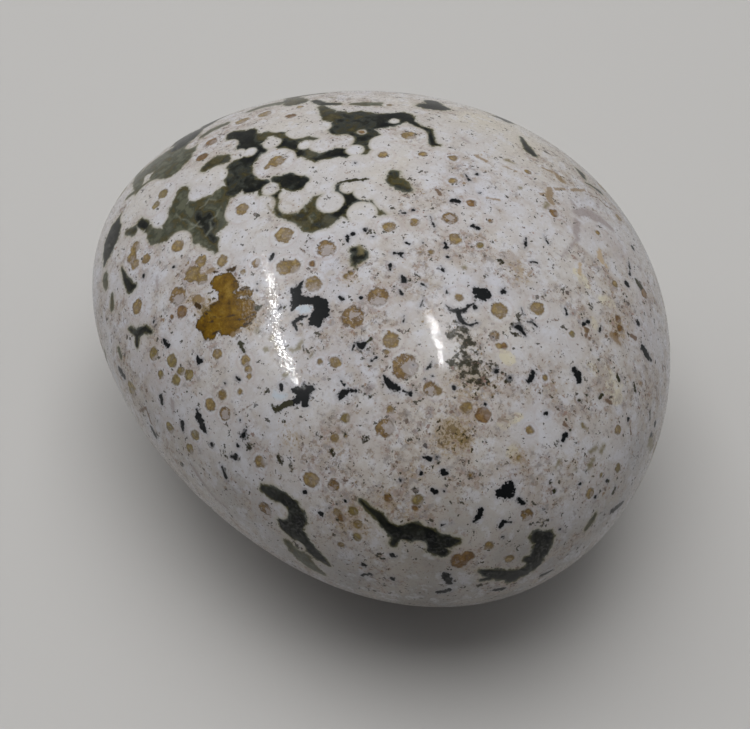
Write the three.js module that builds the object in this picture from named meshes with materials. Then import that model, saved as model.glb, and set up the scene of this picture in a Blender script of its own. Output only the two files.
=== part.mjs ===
// Ocean jasper: a palm-sized freeform stone, one piece, ground and polished all over.
//
// Units are millimetres and +Z is up. The stone lies on the small flat spot ground into
// its underside. X runs along its length, with the blunt end at +X, and Y across it, with
// the straighter flank at -Y. The origin is the middle of the stone's box, on the surface
// that it rests on.

import { Group, Mesh, MeshStandardMaterial, SphereGeometry } from 'three';
import { mergeVertices } from 'three/addons/utils/BufferGeometryUtils.js';

// Driving dimensions of the stone before its flat spot is ground
const LENGTH = 72;
const WIDTH = 61;
const THICKNESS = 44;
// How far both ends sweep towards the straighter flank, against the middle of the stone
const END_SWEEP = 4;
// The blunt end gains this share of the width and of the thickness, and the other end
// loses the same share
const WIDTH_TAPER = 0.04;
const THICKNESS_TAPER = 0.1;
// Depth ground off the underside
const FLAT_DEPTH = 0.6;

// Facets of the mesh
const FACETS_AROUND = 72;
const FACETS_UP = 36;

// Height at which the underside is cut, measured from the middle of the stone
const CUT_HEIGHT = -THICKNESS / 2 + FLAT_DEPTH;

// A point of the stone's skin. Heading turns from +X towards +Y, and latitude rises from
// -90 degrees underneath to 90 degrees on top; both are in radians.
function skinPoint(heading, latitude) {
  const along = Math.cos(latitude) * Math.cos(heading);
  const across = Math.cos(latitude) * Math.sin(heading);
  const up = Math.sin(latitude);
  return {
    x: (LENGTH / 2) * along,
    y: (WIDTH / 2) * across * (1 + WIDTH_TAPER * along) - END_SWEEP * along * along,
    z: (THICKNESS / 2) * up * (1 + THICKNESS_TAPER * along),
  };
}

// Latitude at which the skin meets the flat spot on one heading, by halving
function flatEdgeLatitude(heading) {
  let below = -Math.PI / 2;
  let above = 0;
  for (let step = 0; step < 40; step += 1) {
    const middle = (below + above) / 2;
    if (skinPoint(heading, middle).z < CUT_HEIGHT) {
      below = middle;
    } else {
      above = middle;
    }
  }
  return above;
}

// The stone starts as a sphere with its poles up and down. Its rings are spread over the
// skin from the top down to the edge of the flat spot, which the last ring follows, and
// the bottom pole becomes the middle of the flat spot.
function stoneGeometry() {
  const sphere = new SphereGeometry(1, FACETS_AROUND, FACETS_UP);
  sphere.rotateX(Math.PI / 2);
  sphere.deleteAttribute('normal');
  sphere.deleteAttribute('uv');
  const stone = mergeVertices(sphere);
  const skin = stone.getAttribute('position');
  const lastRing = Math.PI * (1 - 1 / FACETS_UP);
  const flatMiddle = flatSpotMiddle();
  for (let i = 0; i < skin.count; i += 1) {
    const heading = Math.atan2(skin.getY(i), skin.getX(i));
    const share = Math.acos(Math.min(1, Math.max(-1, skin.getZ(i)))) / lastRing;
    const lowest = flatEdgeLatitude(heading);
    const latitude = Math.PI / 2 - share * (Math.PI / 2 - lowest);
    const isPole = share > 1.001;
    const place = isPole ? flatMiddle : skinPoint(heading, latitude);
    skin.setXYZ(i, place.x, place.y, place.z);
  }
  stone.computeBoundingBox();
  const { min, max } = stone.boundingBox;
  stone.translate(-(min.x + max.x) / 2, -(min.y + max.y) / 2, -CUT_HEIGHT);
  stone.computeVertexNormals();
  return stone;
}

// The middle of the flat spot, between its edges at both ends and on both flanks
function flatSpotMiddle() {
  const edge = (heading) => skinPoint(heading, flatEdgeLatitude(heading));
  return {
    x: (edge(0).x + edge(Math.PI).x) / 2,
    y: (edge(Math.PI / 2).y + edge(-Math.PI / 2).y) / 2,
    z: CUT_HEIGHT,
  };
}

// Pale grey-cream jasper under a polish
const polishedJasper = new MeshStandardMaterial({
  color: 0xc9c2bb,
  roughness: 0.22,
  metalness: 0,
});

const stone = new Mesh(stoneGeometry(), polishedJasper);
stone.name = 'stone';

const oceanJasper = new Group();
oceanJasper.add(stone);

export default oceanJasper;
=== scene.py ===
# %% [markdown]
# # A polished ocean jasper
#
# This lesson finishes one palm-sized stone. Ocean jasper is rock that grew as crowded
# little balls of quartz. Grinding and polishing cut the balls open, so the skin shows
# pale discs, many with a tan heart, and dark green or black fillings where the balls
# left a gap.
#
# The construction model already holds the stone's size and place. The lesson keeps both,
# gives the stone a fine polished skin, and then paints the orbs with nodes.

# %% Load the frame
import math

import bmesh
import bpy
import numpy as np
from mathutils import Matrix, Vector, noise
from mathutils.bvhtree import BVHTree


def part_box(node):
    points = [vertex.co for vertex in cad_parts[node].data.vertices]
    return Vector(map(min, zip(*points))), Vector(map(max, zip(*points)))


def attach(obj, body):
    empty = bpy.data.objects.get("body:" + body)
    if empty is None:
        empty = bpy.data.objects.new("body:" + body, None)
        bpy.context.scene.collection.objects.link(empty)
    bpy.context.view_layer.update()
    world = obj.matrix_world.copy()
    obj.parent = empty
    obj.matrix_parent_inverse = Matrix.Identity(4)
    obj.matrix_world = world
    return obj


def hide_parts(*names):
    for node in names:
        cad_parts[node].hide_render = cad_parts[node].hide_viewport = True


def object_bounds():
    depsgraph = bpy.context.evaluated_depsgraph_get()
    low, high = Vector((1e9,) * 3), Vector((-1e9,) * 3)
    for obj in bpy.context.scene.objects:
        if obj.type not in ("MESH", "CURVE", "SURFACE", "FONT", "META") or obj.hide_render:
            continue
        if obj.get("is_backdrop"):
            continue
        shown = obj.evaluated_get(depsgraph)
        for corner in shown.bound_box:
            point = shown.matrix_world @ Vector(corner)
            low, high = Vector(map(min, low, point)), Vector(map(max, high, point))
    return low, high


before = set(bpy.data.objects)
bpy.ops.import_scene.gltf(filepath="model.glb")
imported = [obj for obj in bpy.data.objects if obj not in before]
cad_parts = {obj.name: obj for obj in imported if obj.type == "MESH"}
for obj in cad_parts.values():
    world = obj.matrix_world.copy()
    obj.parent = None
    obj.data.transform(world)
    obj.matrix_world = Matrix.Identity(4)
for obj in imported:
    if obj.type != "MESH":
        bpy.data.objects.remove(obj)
cad_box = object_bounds()
MM = 0.001
low_corner, high_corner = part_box("stone")
stone_size = high_corner - low_corner
print("stone, mm:", [round(side / MM, 2) for side in stone_size])

# %% [markdown]
# ## The camera
#
# The stone is seen from above and from its blunt end. A fairly long lens from a hand's
# reach away keeps the far end nearly as large as the near one. The camera is made first,
# because the orbs that it sees are placed by where they lie in its frame.

# %% Camera
FRAME_WIDTH = 750
FRAME_HEIGHT = 729
CAMERA_TURN = math.radians(44.3)
CAMERA_LIFT = math.radians(53.0)
CAMERA_REACH = 200 * MM
AIM = Vector((2.0, -4.0, 18.8)) * MM
LENS = 82.6
SENSOR = 36.0

sight = Vector(
    (
        -math.sin(CAMERA_TURN) * math.cos(CAMERA_LIFT),
        math.cos(CAMERA_TURN) * math.cos(CAMERA_LIFT),
        -math.sin(CAMERA_LIFT),
    )
)
camera_data = bpy.data.cameras.new("camera")
camera_data.lens = LENS
camera_data.sensor_width = SENSOR
camera_data.clip_start = 10 * MM
camera = bpy.data.objects.new("camera", camera_data)
bpy.context.scene.collection.objects.link(camera)
camera.location = AIM - sight * CAMERA_REACH
camera.rotation_euler = sight.to_track_quat("-Z", "Y").to_euler()
bpy.context.scene.camera = camera
bpy.context.view_layer.update()
print("camera at, mm:", [round(place / MM, 1) for place in camera.location])

# %% [markdown]
# ## The shape of the stone
#
# The stone is a squashed ball. One end is blunter, both ends sweep a little to one side,
# and a small spot underneath is ground flat. Sculpting could give such a form, but a few
# lines of arithmetic give it without a single bump. A hand-ground stone is never perfectly
# even, so a slow noise moves the skin by less than a tenth of a millimetre: only the
# reflections show it.

# %% Shape of the stone
END_SWEEP = 4 * MM
WIDTH_TAPER = 0.04
THICKNESS_TAPER = 0.1
FLAT_DEPTH = 0.6 * MM
FLAT_SOFTNESS = 0.12 * MM
WAVE_HEIGHT = 0.05 * MM
WAVE_LENGTH = 13 * MM


def skin_place(corner):
    """Where a corner of the cube lies on the stone, before the stone is set on its flat."""
    spread = Vector([math.tan(part * math.pi / 4) for part in corner])
    along, across, up = spread.normalized()
    half = (stone_size + Vector((0, 0, FLAT_DEPTH))) / 2
    place = Vector(
        (
            half.x * along,
            half.y * across * (1 + WIDTH_TAPER * along) - END_SWEEP * along * along,
            half.z * up * (1 + THICKNESS_TAPER * along),
        )
    )
    wave = noise.noise(place / WAVE_LENGTH)
    place += spread.normalized() * wave * WAVE_HEIGHT
    above = place.z + half.z - FLAT_DEPTH
    place.z += (math.hypot(above, FLAT_SOFTNESS) - above) / 2
    return place


blunt_end = skin_place(Vector((1, 0, 0)))
print("blunt end before fitting, mm:", [round(part / MM, 1) for part in blunt_end])

# %% [markdown]
# ## The skin of the stone
#
# A ball made from a cube has faces of nearly one size all over, with no crowded poles. Its
# corners are spread by a tangent, which evens them out further. The faces are fine, because
# each will carry marks of its own. At the end the skin is fitted to the box of the
# construction model exactly.

# %% Skin of the stone
CUTS_PER_SIDE = 127


def fit_to_box(mesh_in_work, lowest, highest):
    """Moves and scales the corners so that their box is the given one."""
    corners = [vert.co for vert in mesh_in_work.verts]
    for axis in range(3):
        first = min(corner[axis] for corner in corners)
        last = max(corner[axis] for corner in corners)
        scale = (highest[axis] - lowest[axis]) / (last - first)
        for corner in corners:
            corner[axis] = lowest[axis] + (corner[axis] - first) * scale


skin = bmesh.new()
bmesh.ops.create_cube(skin, size=2)
bmesh.ops.subdivide_edges(skin, edges=skin.edges[:], cuts=CUTS_PER_SIDE, use_grid_fill=True)
for vert in skin.verts:
    vert.co = skin_place(vert.co)
fit_to_box(skin, low_corner, high_corner)
for face in skin.faces:
    face.smooth = True
bmesh.ops.recalc_face_normals(skin, faces=skin.faces[:])
skin_tree = BVHTree.FromBMesh(skin)
stone_mesh = bpy.data.meshes.new("ocean_jasper")
skin.to_mesh(stone_mesh)
skin.free()
stone = bpy.data.objects.new("ocean_jasper", stone_mesh)
bpy.context.scene.collection.objects.link(stone)
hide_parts("stone")
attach(stone, "root")
print("stone faces:", len(stone_mesh.polygons))

# %% [markdown]
# ## From the frame to the stone
#
# A mark is given by its column and row in a frame of 750 by 729 points. A ray from the
# camera through that point meets the stone where the mark belongs. A point just outside
# the outline takes the nearest place on the skin. All marks are kept in millimetres.


# %% Finding places on the stone
def sight_line(column, row):
    """The direction from the camera through one point of the frame."""
    points_per_mm = FRAME_WIDTH / SENSOR
    right = (column - FRAME_WIDTH / 2) / points_per_mm
    down = (row - FRAME_HEIGHT / 2) / points_per_mm
    direction = camera.matrix_world.to_3x3() @ Vector((right, -down, -LENS))
    return direction.normalized()


def seen_at(column, row):
    """The place on the stone that the camera sees there, and its outward direction."""
    direction = sight_line(column, row)
    place, outward, _, _ = skin_tree.ray_cast(camera.location, direction)
    if place is None:
        closest = camera.location + direction * CAMERA_REACH
        place, outward, _, _ = skin_tree.find_nearest(closest)
    return place, outward


def placed(marks):
    """Marks as rows of x, y, z and the rest of their numbers, in millimetres."""
    rows = []
    for column, row, *sizes in marks:
        place, _ = seen_at(column, row)
        rows.append([*(place / MM), *sizes])
    return np.array(rows)


middle_place, _ = seen_at(FRAME_WIDTH / 2, FRAME_HEIGHT / 2)
print("seen in the middle of the frame, mm:", [round(part / MM, 1) for part in middle_place])

# %% [markdown]
# ## Measuring the faces
#
# Every face of the skin will carry the marks that lie near it. So the middles, directions
# and areas of all faces are read once, as arrays, which is far quicker than asking face
# by face. How squarely a face looks at the camera tells the near side from the hidden one.

# %% Middles, directions and areas of the faces
face_count = len(stone_mesh.polygons)
face_middles = np.empty(face_count * 3)
stone_mesh.polygons.foreach_get("center", face_middles)
face_middles = face_middles.reshape(-1, 3) / MM
face_normals = np.empty(face_count * 3)
stone_mesh.polygons.foreach_get("normal", face_normals)
face_normals = face_normals.reshape(-1, 3)
face_areas = np.empty(face_count)
stone_mesh.polygons.foreach_get("area", face_areas)
corner_places = np.empty(len(stone_mesh.vertices) * 3)
stone_mesh.vertices.foreach_get("co", corner_places)
corner_places = corner_places.reshape(-1, 3) / MM
to_camera = np.array(camera.location) / MM - face_middles
to_camera /= np.linalg.norm(to_camera, axis=1)[:, None]
facing = (face_normals * to_camera).sum(axis=1)
print("skin, square mm:", round(face_areas.sum() / MM**2))

# %% [markdown]
# ## Orbs with a coloured heart
#
# The best-known mark of the stone is a pale disc with a tan heart. Each row below gives
# the column, the row, the radius of the heart and the radius of the pale disc round it.
# The lists differ in the heart: golden brown, rust, olive, or a ring that is broken and
# pale in the middle.

# %% Orbs that the camera sees
GOLDEN_HEARTS = [
    (277, 161, 1.05, 2.2), (267, 167, 0.45, 1.6), (242, 209, 0.85, 2.05), (284, 235, 1.05, 1.7),
    (285, 267, 1.0, 1.6), (294, 266, 0.85, 1.4), (313, 284, 1.0, 1.6), (178, 246, 0.9, 1.9),
    (135, 248, 0.85, 1.7), (132, 257, 0.85, 1.7), (135, 264, 0.7, 1.5), (146, 259, 0.75, 1.5),
    (137, 307, 0.9, 1.5), (222, 261, 0.75, 1.3), (201, 261, 0.8, 1.2), (193, 274, 1.1, 1.4),
    (202, 279, 0.8, 1.1), (243, 272, 0.45, 0.8), (197, 300, 0.7, 1.0), (217, 354, 0.65, 1.1),
    (245, 361, 0.65, 1.1), (248, 369, 0.5, 0.9), (249, 376, 0.4, 0.7), (222, 395, 0.65, 1.1),
    (210, 405, 0.8, 1.2), (240, 392, 0.42, 0.8), (335, 362, 0.7, 1.1), (320, 362, 0.4, 0.8),
    (260, 462, 0.75, 1.2), (334, 438, 0.55, 0.9), (391, 340, 0.95, 1.5), (386, 352, 0.4, 0.8),
    (391, 410, 0.5, 0.8), (467, 408, 0.7, 1.0), (530, 430, 0.5, 0.8), (590, 493, 0.7, 1.0),
    (489, 546, 0.65, 1.0), (509, 559, 0.6, 0.9), (537, 308, 0.85, 1.5), (459, 298, 0.5, 1.5),
    (598, 233, 0.4, 0.9), (619, 218, 0.6, 0.9), (383, 155, 0.65, 1.4),
    (409, 135, 0.95, 2.1), (423, 154, 0.6, 1.2), (389, 227, 0.8, 1.4), (415, 222, 0.6, 1.3),
    (242, 121, 0.9, 1.5), (265, 114, 0.9, 1.5), (300, 107, 0.5, 0.9), (346, 276, 0.4, 0.8),
    (351, 273, 0.35, 0.7), (528, 172, 0.5, 0.9), (618, 430, 0.6, 0.9), (341, 545, 0.45, 0.8),
    (337, 512, 0.5, 0.8), (358, 524, 0.6, 1.0), (545, 378, 0.4, 0.7), (519, 458, 0.4, 0.7),
    (431, 252, 0.4, 0.7), (437, 391, 0.6, 1.1), (453, 158, 0.6, 1.0), (453, 181, 0.6, 1.1),
    (499, 346, 0.4, 0.7), (587, 331, 0.4, 0.7), (455, 239, 0.75, 1.2), (390, 105, 0.5, 0.9),
    (499, 310, 1.0, 1.6), (311, 480, 0.95, 1.5), (615, 284, 0.5, 0.9),
]
RUST_HEARTS = [
    (211, 142, 0.85, 1.9), (202, 157, 0.85, 1.7), (291, 116, 0.7, 1.3), (312, 264, 0.4, 0.8),
    (182, 312, 0.85, 1.1), (172, 317, 0.4, 0.7), (483, 415, 0.9, 1.3), (415, 508, 0.4, 0.7),
    (459, 561, 1.0, 1.3), (468, 556, 0.75, 1.1), (504, 346, 0.5, 0.8),
    (554, 213, 0.65, 1.0), (472, 203, 0.6, 1.0),
    (616, 335, 0.5, 0.8), (388, 498, 0.5, 0.8), (618, 319, 0.5, 1.1), (620, 329, 0.55, 1.2),
    (644, 293, 0.75, 1.1), (362, 132, 0.45, 0.5),
    (490, 221, 0.4, 0.8), (341, 518, 0.55, 0.9), (196, 276, 0.5, 0.8),
]
OLIVE_HEARTS = [
    (163, 194, 0.8, 1.9), (156, 205, 0.65, 1.7), (154, 354, 0.85, 1.3), (172, 361, 0.85, 1.3),
    (161, 374, 0.55, 1.0), (181, 371, 0.6, 1.0), (176, 380, 0.7, 1.0), (189, 375, 0.7, 1.0),
    (132, 389, 1.0, 1.4), (170, 428, 0.75, 1.2), (195, 435, 0.7, 1.1), (190, 449, 0.7, 1.0),
    (418, 500, 0.7, 1.1), (657, 445, 0.7, 1.0), (480, 245, 0.5, 0.9), (353, 511, 0.6, 1.0),
    (357, 537, 0.6, 1.0), (345, 418, 0.6, 1.0), (618, 468, 0.6, 0.9),
    (572, 334, 0.4, 0.7), (601, 475, 0.35, 0.7),
]
RING_HEARTS = [
    (326, 248, 1.1, 1.5), (178, 296, 1.2, 1.5), (378, 297, 1.15, 1.5), (353, 317, 1.3, 1.5),
    (405, 367, 1.45, 2.0), (385, 428, 1.05, 1.5), (527, 515, 0.75, 1.1), (265, 508, 0.9, 1.2),
    (333, 485, 0.7, 1.2), (450, 218, 0.9, 1.2), (225, 414, 0.8, 1.2),
    (431, 389, 0.85, 1.15), (494, 336, 0.65, 1.0), (471, 475, 0.5, 0.8), (256, 263, 0.6, 1.0),
]
SEEN_HEARTS = {
    "golden": GOLDEN_HEARTS,
    "rust": RUST_HEARTS,
    "olive": OLIVE_HEARTS,
    "ring": RING_HEARTS,
}
# The tone of each kind of heart, and how hollow it is
HEART_LOOKS = {"golden": (0.45, 0.15), "rust": (1.0, 0.0), "olive": (0.0, 0.1), "ring": (0.6, 1.0)}


def heart_rows(marks, tone, hollow):
    """Placed hearts: x, y, z, radius, radius of the pale disc, tone and how hollow."""
    rows = placed(marks)
    looks = np.tile([tone, hollow], (len(rows), 1))
    return np.hstack([rows, looks])


seen_hearts = np.vstack(
    [heart_rows(marks, *HEART_LOOKS[name]) for name, marks in SEEN_HEARTS.items()]
)
print("hearts seen:", len(seen_hearts))

# %% [markdown]
# ## Plain orbs
#
# Other orbs are white right through. Most of them show only as a faint ring, and a later
# step fills them in by chance. The ones that stand in the dark rock show clearly, so they
# are listed, by column, row and radius.

# %% White orbs that the camera sees
WHITE_ORBS = [
    (228, 146, 1.3), (187, 176, 1.4), (217, 176, 1.3), (198, 192, 1.25), (146, 195, 2.4),
    (133, 208, 2.2), (160, 219, 1.15), (234, 242, 1.9), (143, 238, 0.6), (137, 254, 1.95),
    (272, 143, 1.05), (250, 152, 0.8), (238, 154, 0.9), (305, 145, 0.8), (320, 145, 1.25),
    (342, 141, 1.35), (355, 150, 1.0), (386, 144, 1.9), (394, 121, 0.6), (270, 189, 0.95),
    (284, 195, 0.6), (292, 203, 1.5), (330, 202, 1.5), (348, 187, 0.9), (366, 191, 1.35),
    (362, 213, 1.6), (355, 167, 1.35), (325, 171, 1.7), (304, 168, 1.2), (306, 309, 0.6),
    (303, 322, 0.6), (299, 546, 0.75), (280, 511, 1.0), (419, 547, 0.8), (306, 304, 0.4),
    (311, 307, 0.35), (322, 243, 1.7), (344, 229, 1.2), (196, 258, 1.3), (300, 131, 1.6),
    (318, 127, 1.5), (281, 126, 1.4), (405, 150, 1.3), (397, 205, 1.6), (460, 316, 0.28),
    (193, 144, 1.0), (262, 206, 1.5), (257, 222, 1.4), (316, 187, 1.3), (398, 163, 1.2),
]

white_orbs = placed(WHITE_ORBS)
print("white orbs:", len(white_orbs))

# %% [markdown]
# ## The gaps between the orbs
#
# The round edges of the white orbs are what gives the dark areas their hollow, bitten
# outline. So the dark rock is laid out generously, as strokes that run under the orbs, and
# the orbs cut into it. A stroke is a chain of discs, each given by column, row and radius.
# The name of each list says what colour the rock is there.

# %% Dark rock that the camera sees
GREY_GREEN_ROCK = [
    [(128, 184, 0.5), (140, 176, 1.2), (152, 166, 2.0), (165, 158, 2.4), (178, 153, 2.2)],
    [(178, 153, 2.0), (190, 150, 1.2)],
    [(160, 172, 1.6), (172, 168, 1.8), (182, 160, 1.4)],
    [(150, 181, 0.35), (140, 188, 0.35), (127, 198, 0.3)],
    [(203, 136, 0.5), (212, 130, 0.6), (226, 124, 0.5)],
    [(250, 111, 0.5), (265, 106, 0.8), (281, 103, 0.8), (297, 100, 0.4)],
    [(105, 278, 0.7), (106, 285, 0.6)],
    [(112, 297, 0.4), (112, 307, 0.5)],
    [(183, 192, 0.9), (180, 203, 1.2), (175, 213, 1.2), (171, 223, 1.3)],
    [(176, 224, 1.4), (190, 214, 2.0), (204, 212, 2.2), (216, 205, 1.7), (223, 194, 1.2)],
    [(188, 228, 1.6), (203, 229, 2.0), (213, 222, 1.8), (225, 215, 1.3)],
    [(205, 236, 1.2), (212, 243, 0.9), (217, 250, 0.4)],
    [(172, 231, 1.0), (162, 236, 1.0), (153, 236, 1.0), (149, 230, 0.8)],
    [(352, 104, 0.3), (364, 104, 0.7), (379, 104, 0.6), (388, 106, 0.3)],
    [(119, 350, 0.4), (121, 356, 0.35)],
    [(105, 353, 0.5), (106, 363, 0.4)],
    [(288, 543, 0.6), (296, 551, 1.1), (303, 558, 1.3), (311, 566, 1.0), (322, 573, 0.5)],
]
OLIVE_ROCK = [
    [(206, 168, 0.7), (215, 161, 0.9), (226, 159, 0.8)],
    [(252, 139, 1.2), (259, 140, 1.0), (264, 135, 0.6), (276, 133, 0.5), (287, 137, 0.8)],
    [(287, 137, 0.8), (296, 143, 0.9), (303, 151, 0.8), (312, 156, 0.8)],
    [(298, 139, 0.35), (308, 138, 0.35), (316, 139, 0.25)],
    [(322, 107, 0.5), (327, 112, 0.9), (331, 118, 1.1), (339, 115, 1.1)],
    [(303, 219, 1.2), (312, 214, 1.7), (318, 207, 1.4), (318, 201, 0.9)],
    [(312, 222, 1.4), (322, 219, 1.4), (331, 215, 1.2), (340, 210, 0.8)],
    [(274, 193, 0.4), (276, 204, 0.45), (281, 212, 0.7), (289, 216, 0.6), (298, 219, 0.8)],
    [(134, 231, 0.6), (127, 232, 0.4)],
    [(394, 174, 0.7), (393, 180, 0.8), (401, 184, 0.9), (407, 189, 0.6)],
    [(356, 251, 0.5), (361, 255, 0.8)],
    [(355, 263, 0.35), (352, 271, 0.25)],
    [(371, 201, 0.15), (374, 208, 0.2), (379, 213, 0.35), (391, 212, 0.12)],
    [(595, 515, 0.3), (591, 522, 0.5), (586, 529, 0.35)],
]
BLACK_ROCK = [
    [(121, 218, 0.8), (115, 229, 1.5), (111, 240, 1.8), (108, 251, 1.3), (105, 262, 0.5)],
    [(197, 214, 0.3), (203, 224, 0.4), (208, 233, 0.4), (214, 241, 0.3)],
    [(232, 135, 0.9), (242, 137, 1.6), (248, 134, 1.2)],
    [(246, 144, 1.3), (254, 148, 0.9)],
    [(251, 186, 1.2), (263, 185, 0.8)],
    [(252, 157, 0.8), (258, 149, 0.8), (264, 151, 0.4)],
    [(283, 144, 0.9), (292, 149, 0.8), (299, 154, 0.6)],
    [(141, 223, 0.7), (146, 226, 0.6)],
    [(209, 215, 0.5), (211, 224, 0.6), (208, 231, 0.3)],
    [(316, 159, 0.5), (328, 155, 0.7), (338, 152, 0.9), (346, 153, 0.8)],
    [(388, 120, 1.7), (402, 117, 1.4), (408, 119, 0.9)],
    [(410, 121, 0.5), (420, 127, 0.35), (429, 130, 0.45), (431, 137, 0.4), (433, 144, 0.45)],
    [(433, 144, 0.45), (439, 145, 0.25)],
    [(420, 106, 0.5), (428, 106, 1.2), (438, 107, 1.3), (447, 109, 0.5)],
    [(432, 102, 1.0), (434, 105, 1.0)],
    [(315, 101, 0.5), (323, 104, 0.6), (331, 104, 0.5), (339, 104, 0.4)],
    [(275, 179, 0.5), (285, 181, 1.1), (296, 183, 1.3), (302, 182, 0.9)],
    [(290, 177, 0.7), (300, 177, 0.6)],
    [(261, 191, 0.4), (265, 198, 0.4), (274, 199, 0.4), (279, 193, 0.4)],
    [(340, 186, 0.5), (342, 194, 0.8), (348, 198, 1.1), (357, 200, 0.7), (367, 202, 0.25)],
    [(345, 204, 0.9), (338, 212, 0.8)],
    [(344, 213, 0.4), (349, 218, 0.25)],
    [(353, 250, 0.4), (357, 249, 0.35)],
    [(358, 258, 0.8), (363, 256, 0.45)],
    [(264, 489, 0.6), (272, 493, 0.85), (283, 499, 0.95), (292, 507, 1.1), (296, 518, 1.35)],
    [(296, 518, 1.35), (290, 526, 1.6), (297, 534, 1.3), (303, 542, 1.0), (311, 550, 0.9)],
    [(311, 550, 0.9), (319, 557, 0.8), (329, 565, 0.3)],
    [(361, 501, 0.3), (369, 509, 0.4), (379, 516, 0.6), (386, 525, 0.6), (397, 533, 0.9)],
    [(397, 533, 0.9), (412, 532, 1.2), (425, 536, 1.2), (438, 542, 1.1), (448, 542, 0.9)],
    [(448, 542, 0.9), (458, 541, 0.4)],
    [(397, 536, 0.6), (393, 544, 0.45)],
    [(432, 547, 0.9), (443, 552, 0.7)],
    [(537, 537, 0.9), (546, 539, 1.1)],
    [(543, 545, 1.25), (540, 553, 1.15), (534, 560, 1.0)],
    [(534, 560, 0.9), (526, 559, 0.5)],
    [(536, 563, 0.9), (526, 571, 0.9), (513, 575, 0.9), (500, 575, 0.9), (488, 573, 0.7)],
    [(488, 573, 0.7), (481, 571, 0.3)],
    [(490, 578, 0.4), (481, 580, 0.25)],
    [(513, 578, 0.9)],
    [(122, 268, 0.25), (126, 280, 0.55), (130, 288, 0.7), (135, 286, 0.35)],
    [(130, 329, 0.35), (137, 334, 0.55), (145, 329, 0.5), (151, 332, 0.3)],
    [(137, 334, 0.5), (137, 345, 0.4)],
    [(521, 137, 0.2), (525, 144, 0.45), (529, 150, 0.7), (534, 155, 0.45)],
    [(577, 169, 0.3), (581, 173, 0.6), (584, 178, 0.35)],
    [(586, 183, 0.15), (592, 186, 0.25), (600, 192, 0.45)],
]
SLATE_ROCK = [
    [(236, 168, 1.5), (241, 179, 1.9), (234, 189, 1.2)],
    [(246, 162, 1.3), (253, 156, 0.8)],
    [(334, 127, 1.0), (345, 123, 1.7), (358, 119, 2.2), (372, 121, 2.1), (388, 120, 1.7)],
    [(352, 131, 1.6), (362, 136, 2.0), (366, 145, 1.2), (364, 152, 0.5)],
    [(336, 131, 0.8), (346, 130, 1.2)],
]
ROCK_TONES = {"black": 0.12, "slate": 0.38, "olive": 0.62, "grey_green": 0.88}
SEEN_ROCK = {
    "grey_green": GREY_GREEN_ROCK,
    "olive": OLIVE_ROCK,
    "slate": SLATE_ROCK,
    "black": BLACK_ROCK,
}


def toned_strokes(lists, tones):
    """Every stroke of the named lists, placed on the stone, with the tone of its list."""
    return [(placed(stroke), tones[name]) for name, strokes in lists.items() for stroke in strokes]


rock_strokes = toned_strokes(SEEN_ROCK, ROCK_TONES)
seen_rock = len(rock_strokes)
print("strokes of dark rock:", seen_rock)

# %% [markdown]
# ## Black flecks
#
# Black flecks are the smallest gaps: bits of the same dark rock, no orb near enough to
# shape them. They lie over everything else, so they have a list of their own, again as
# strokes of discs.

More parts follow.
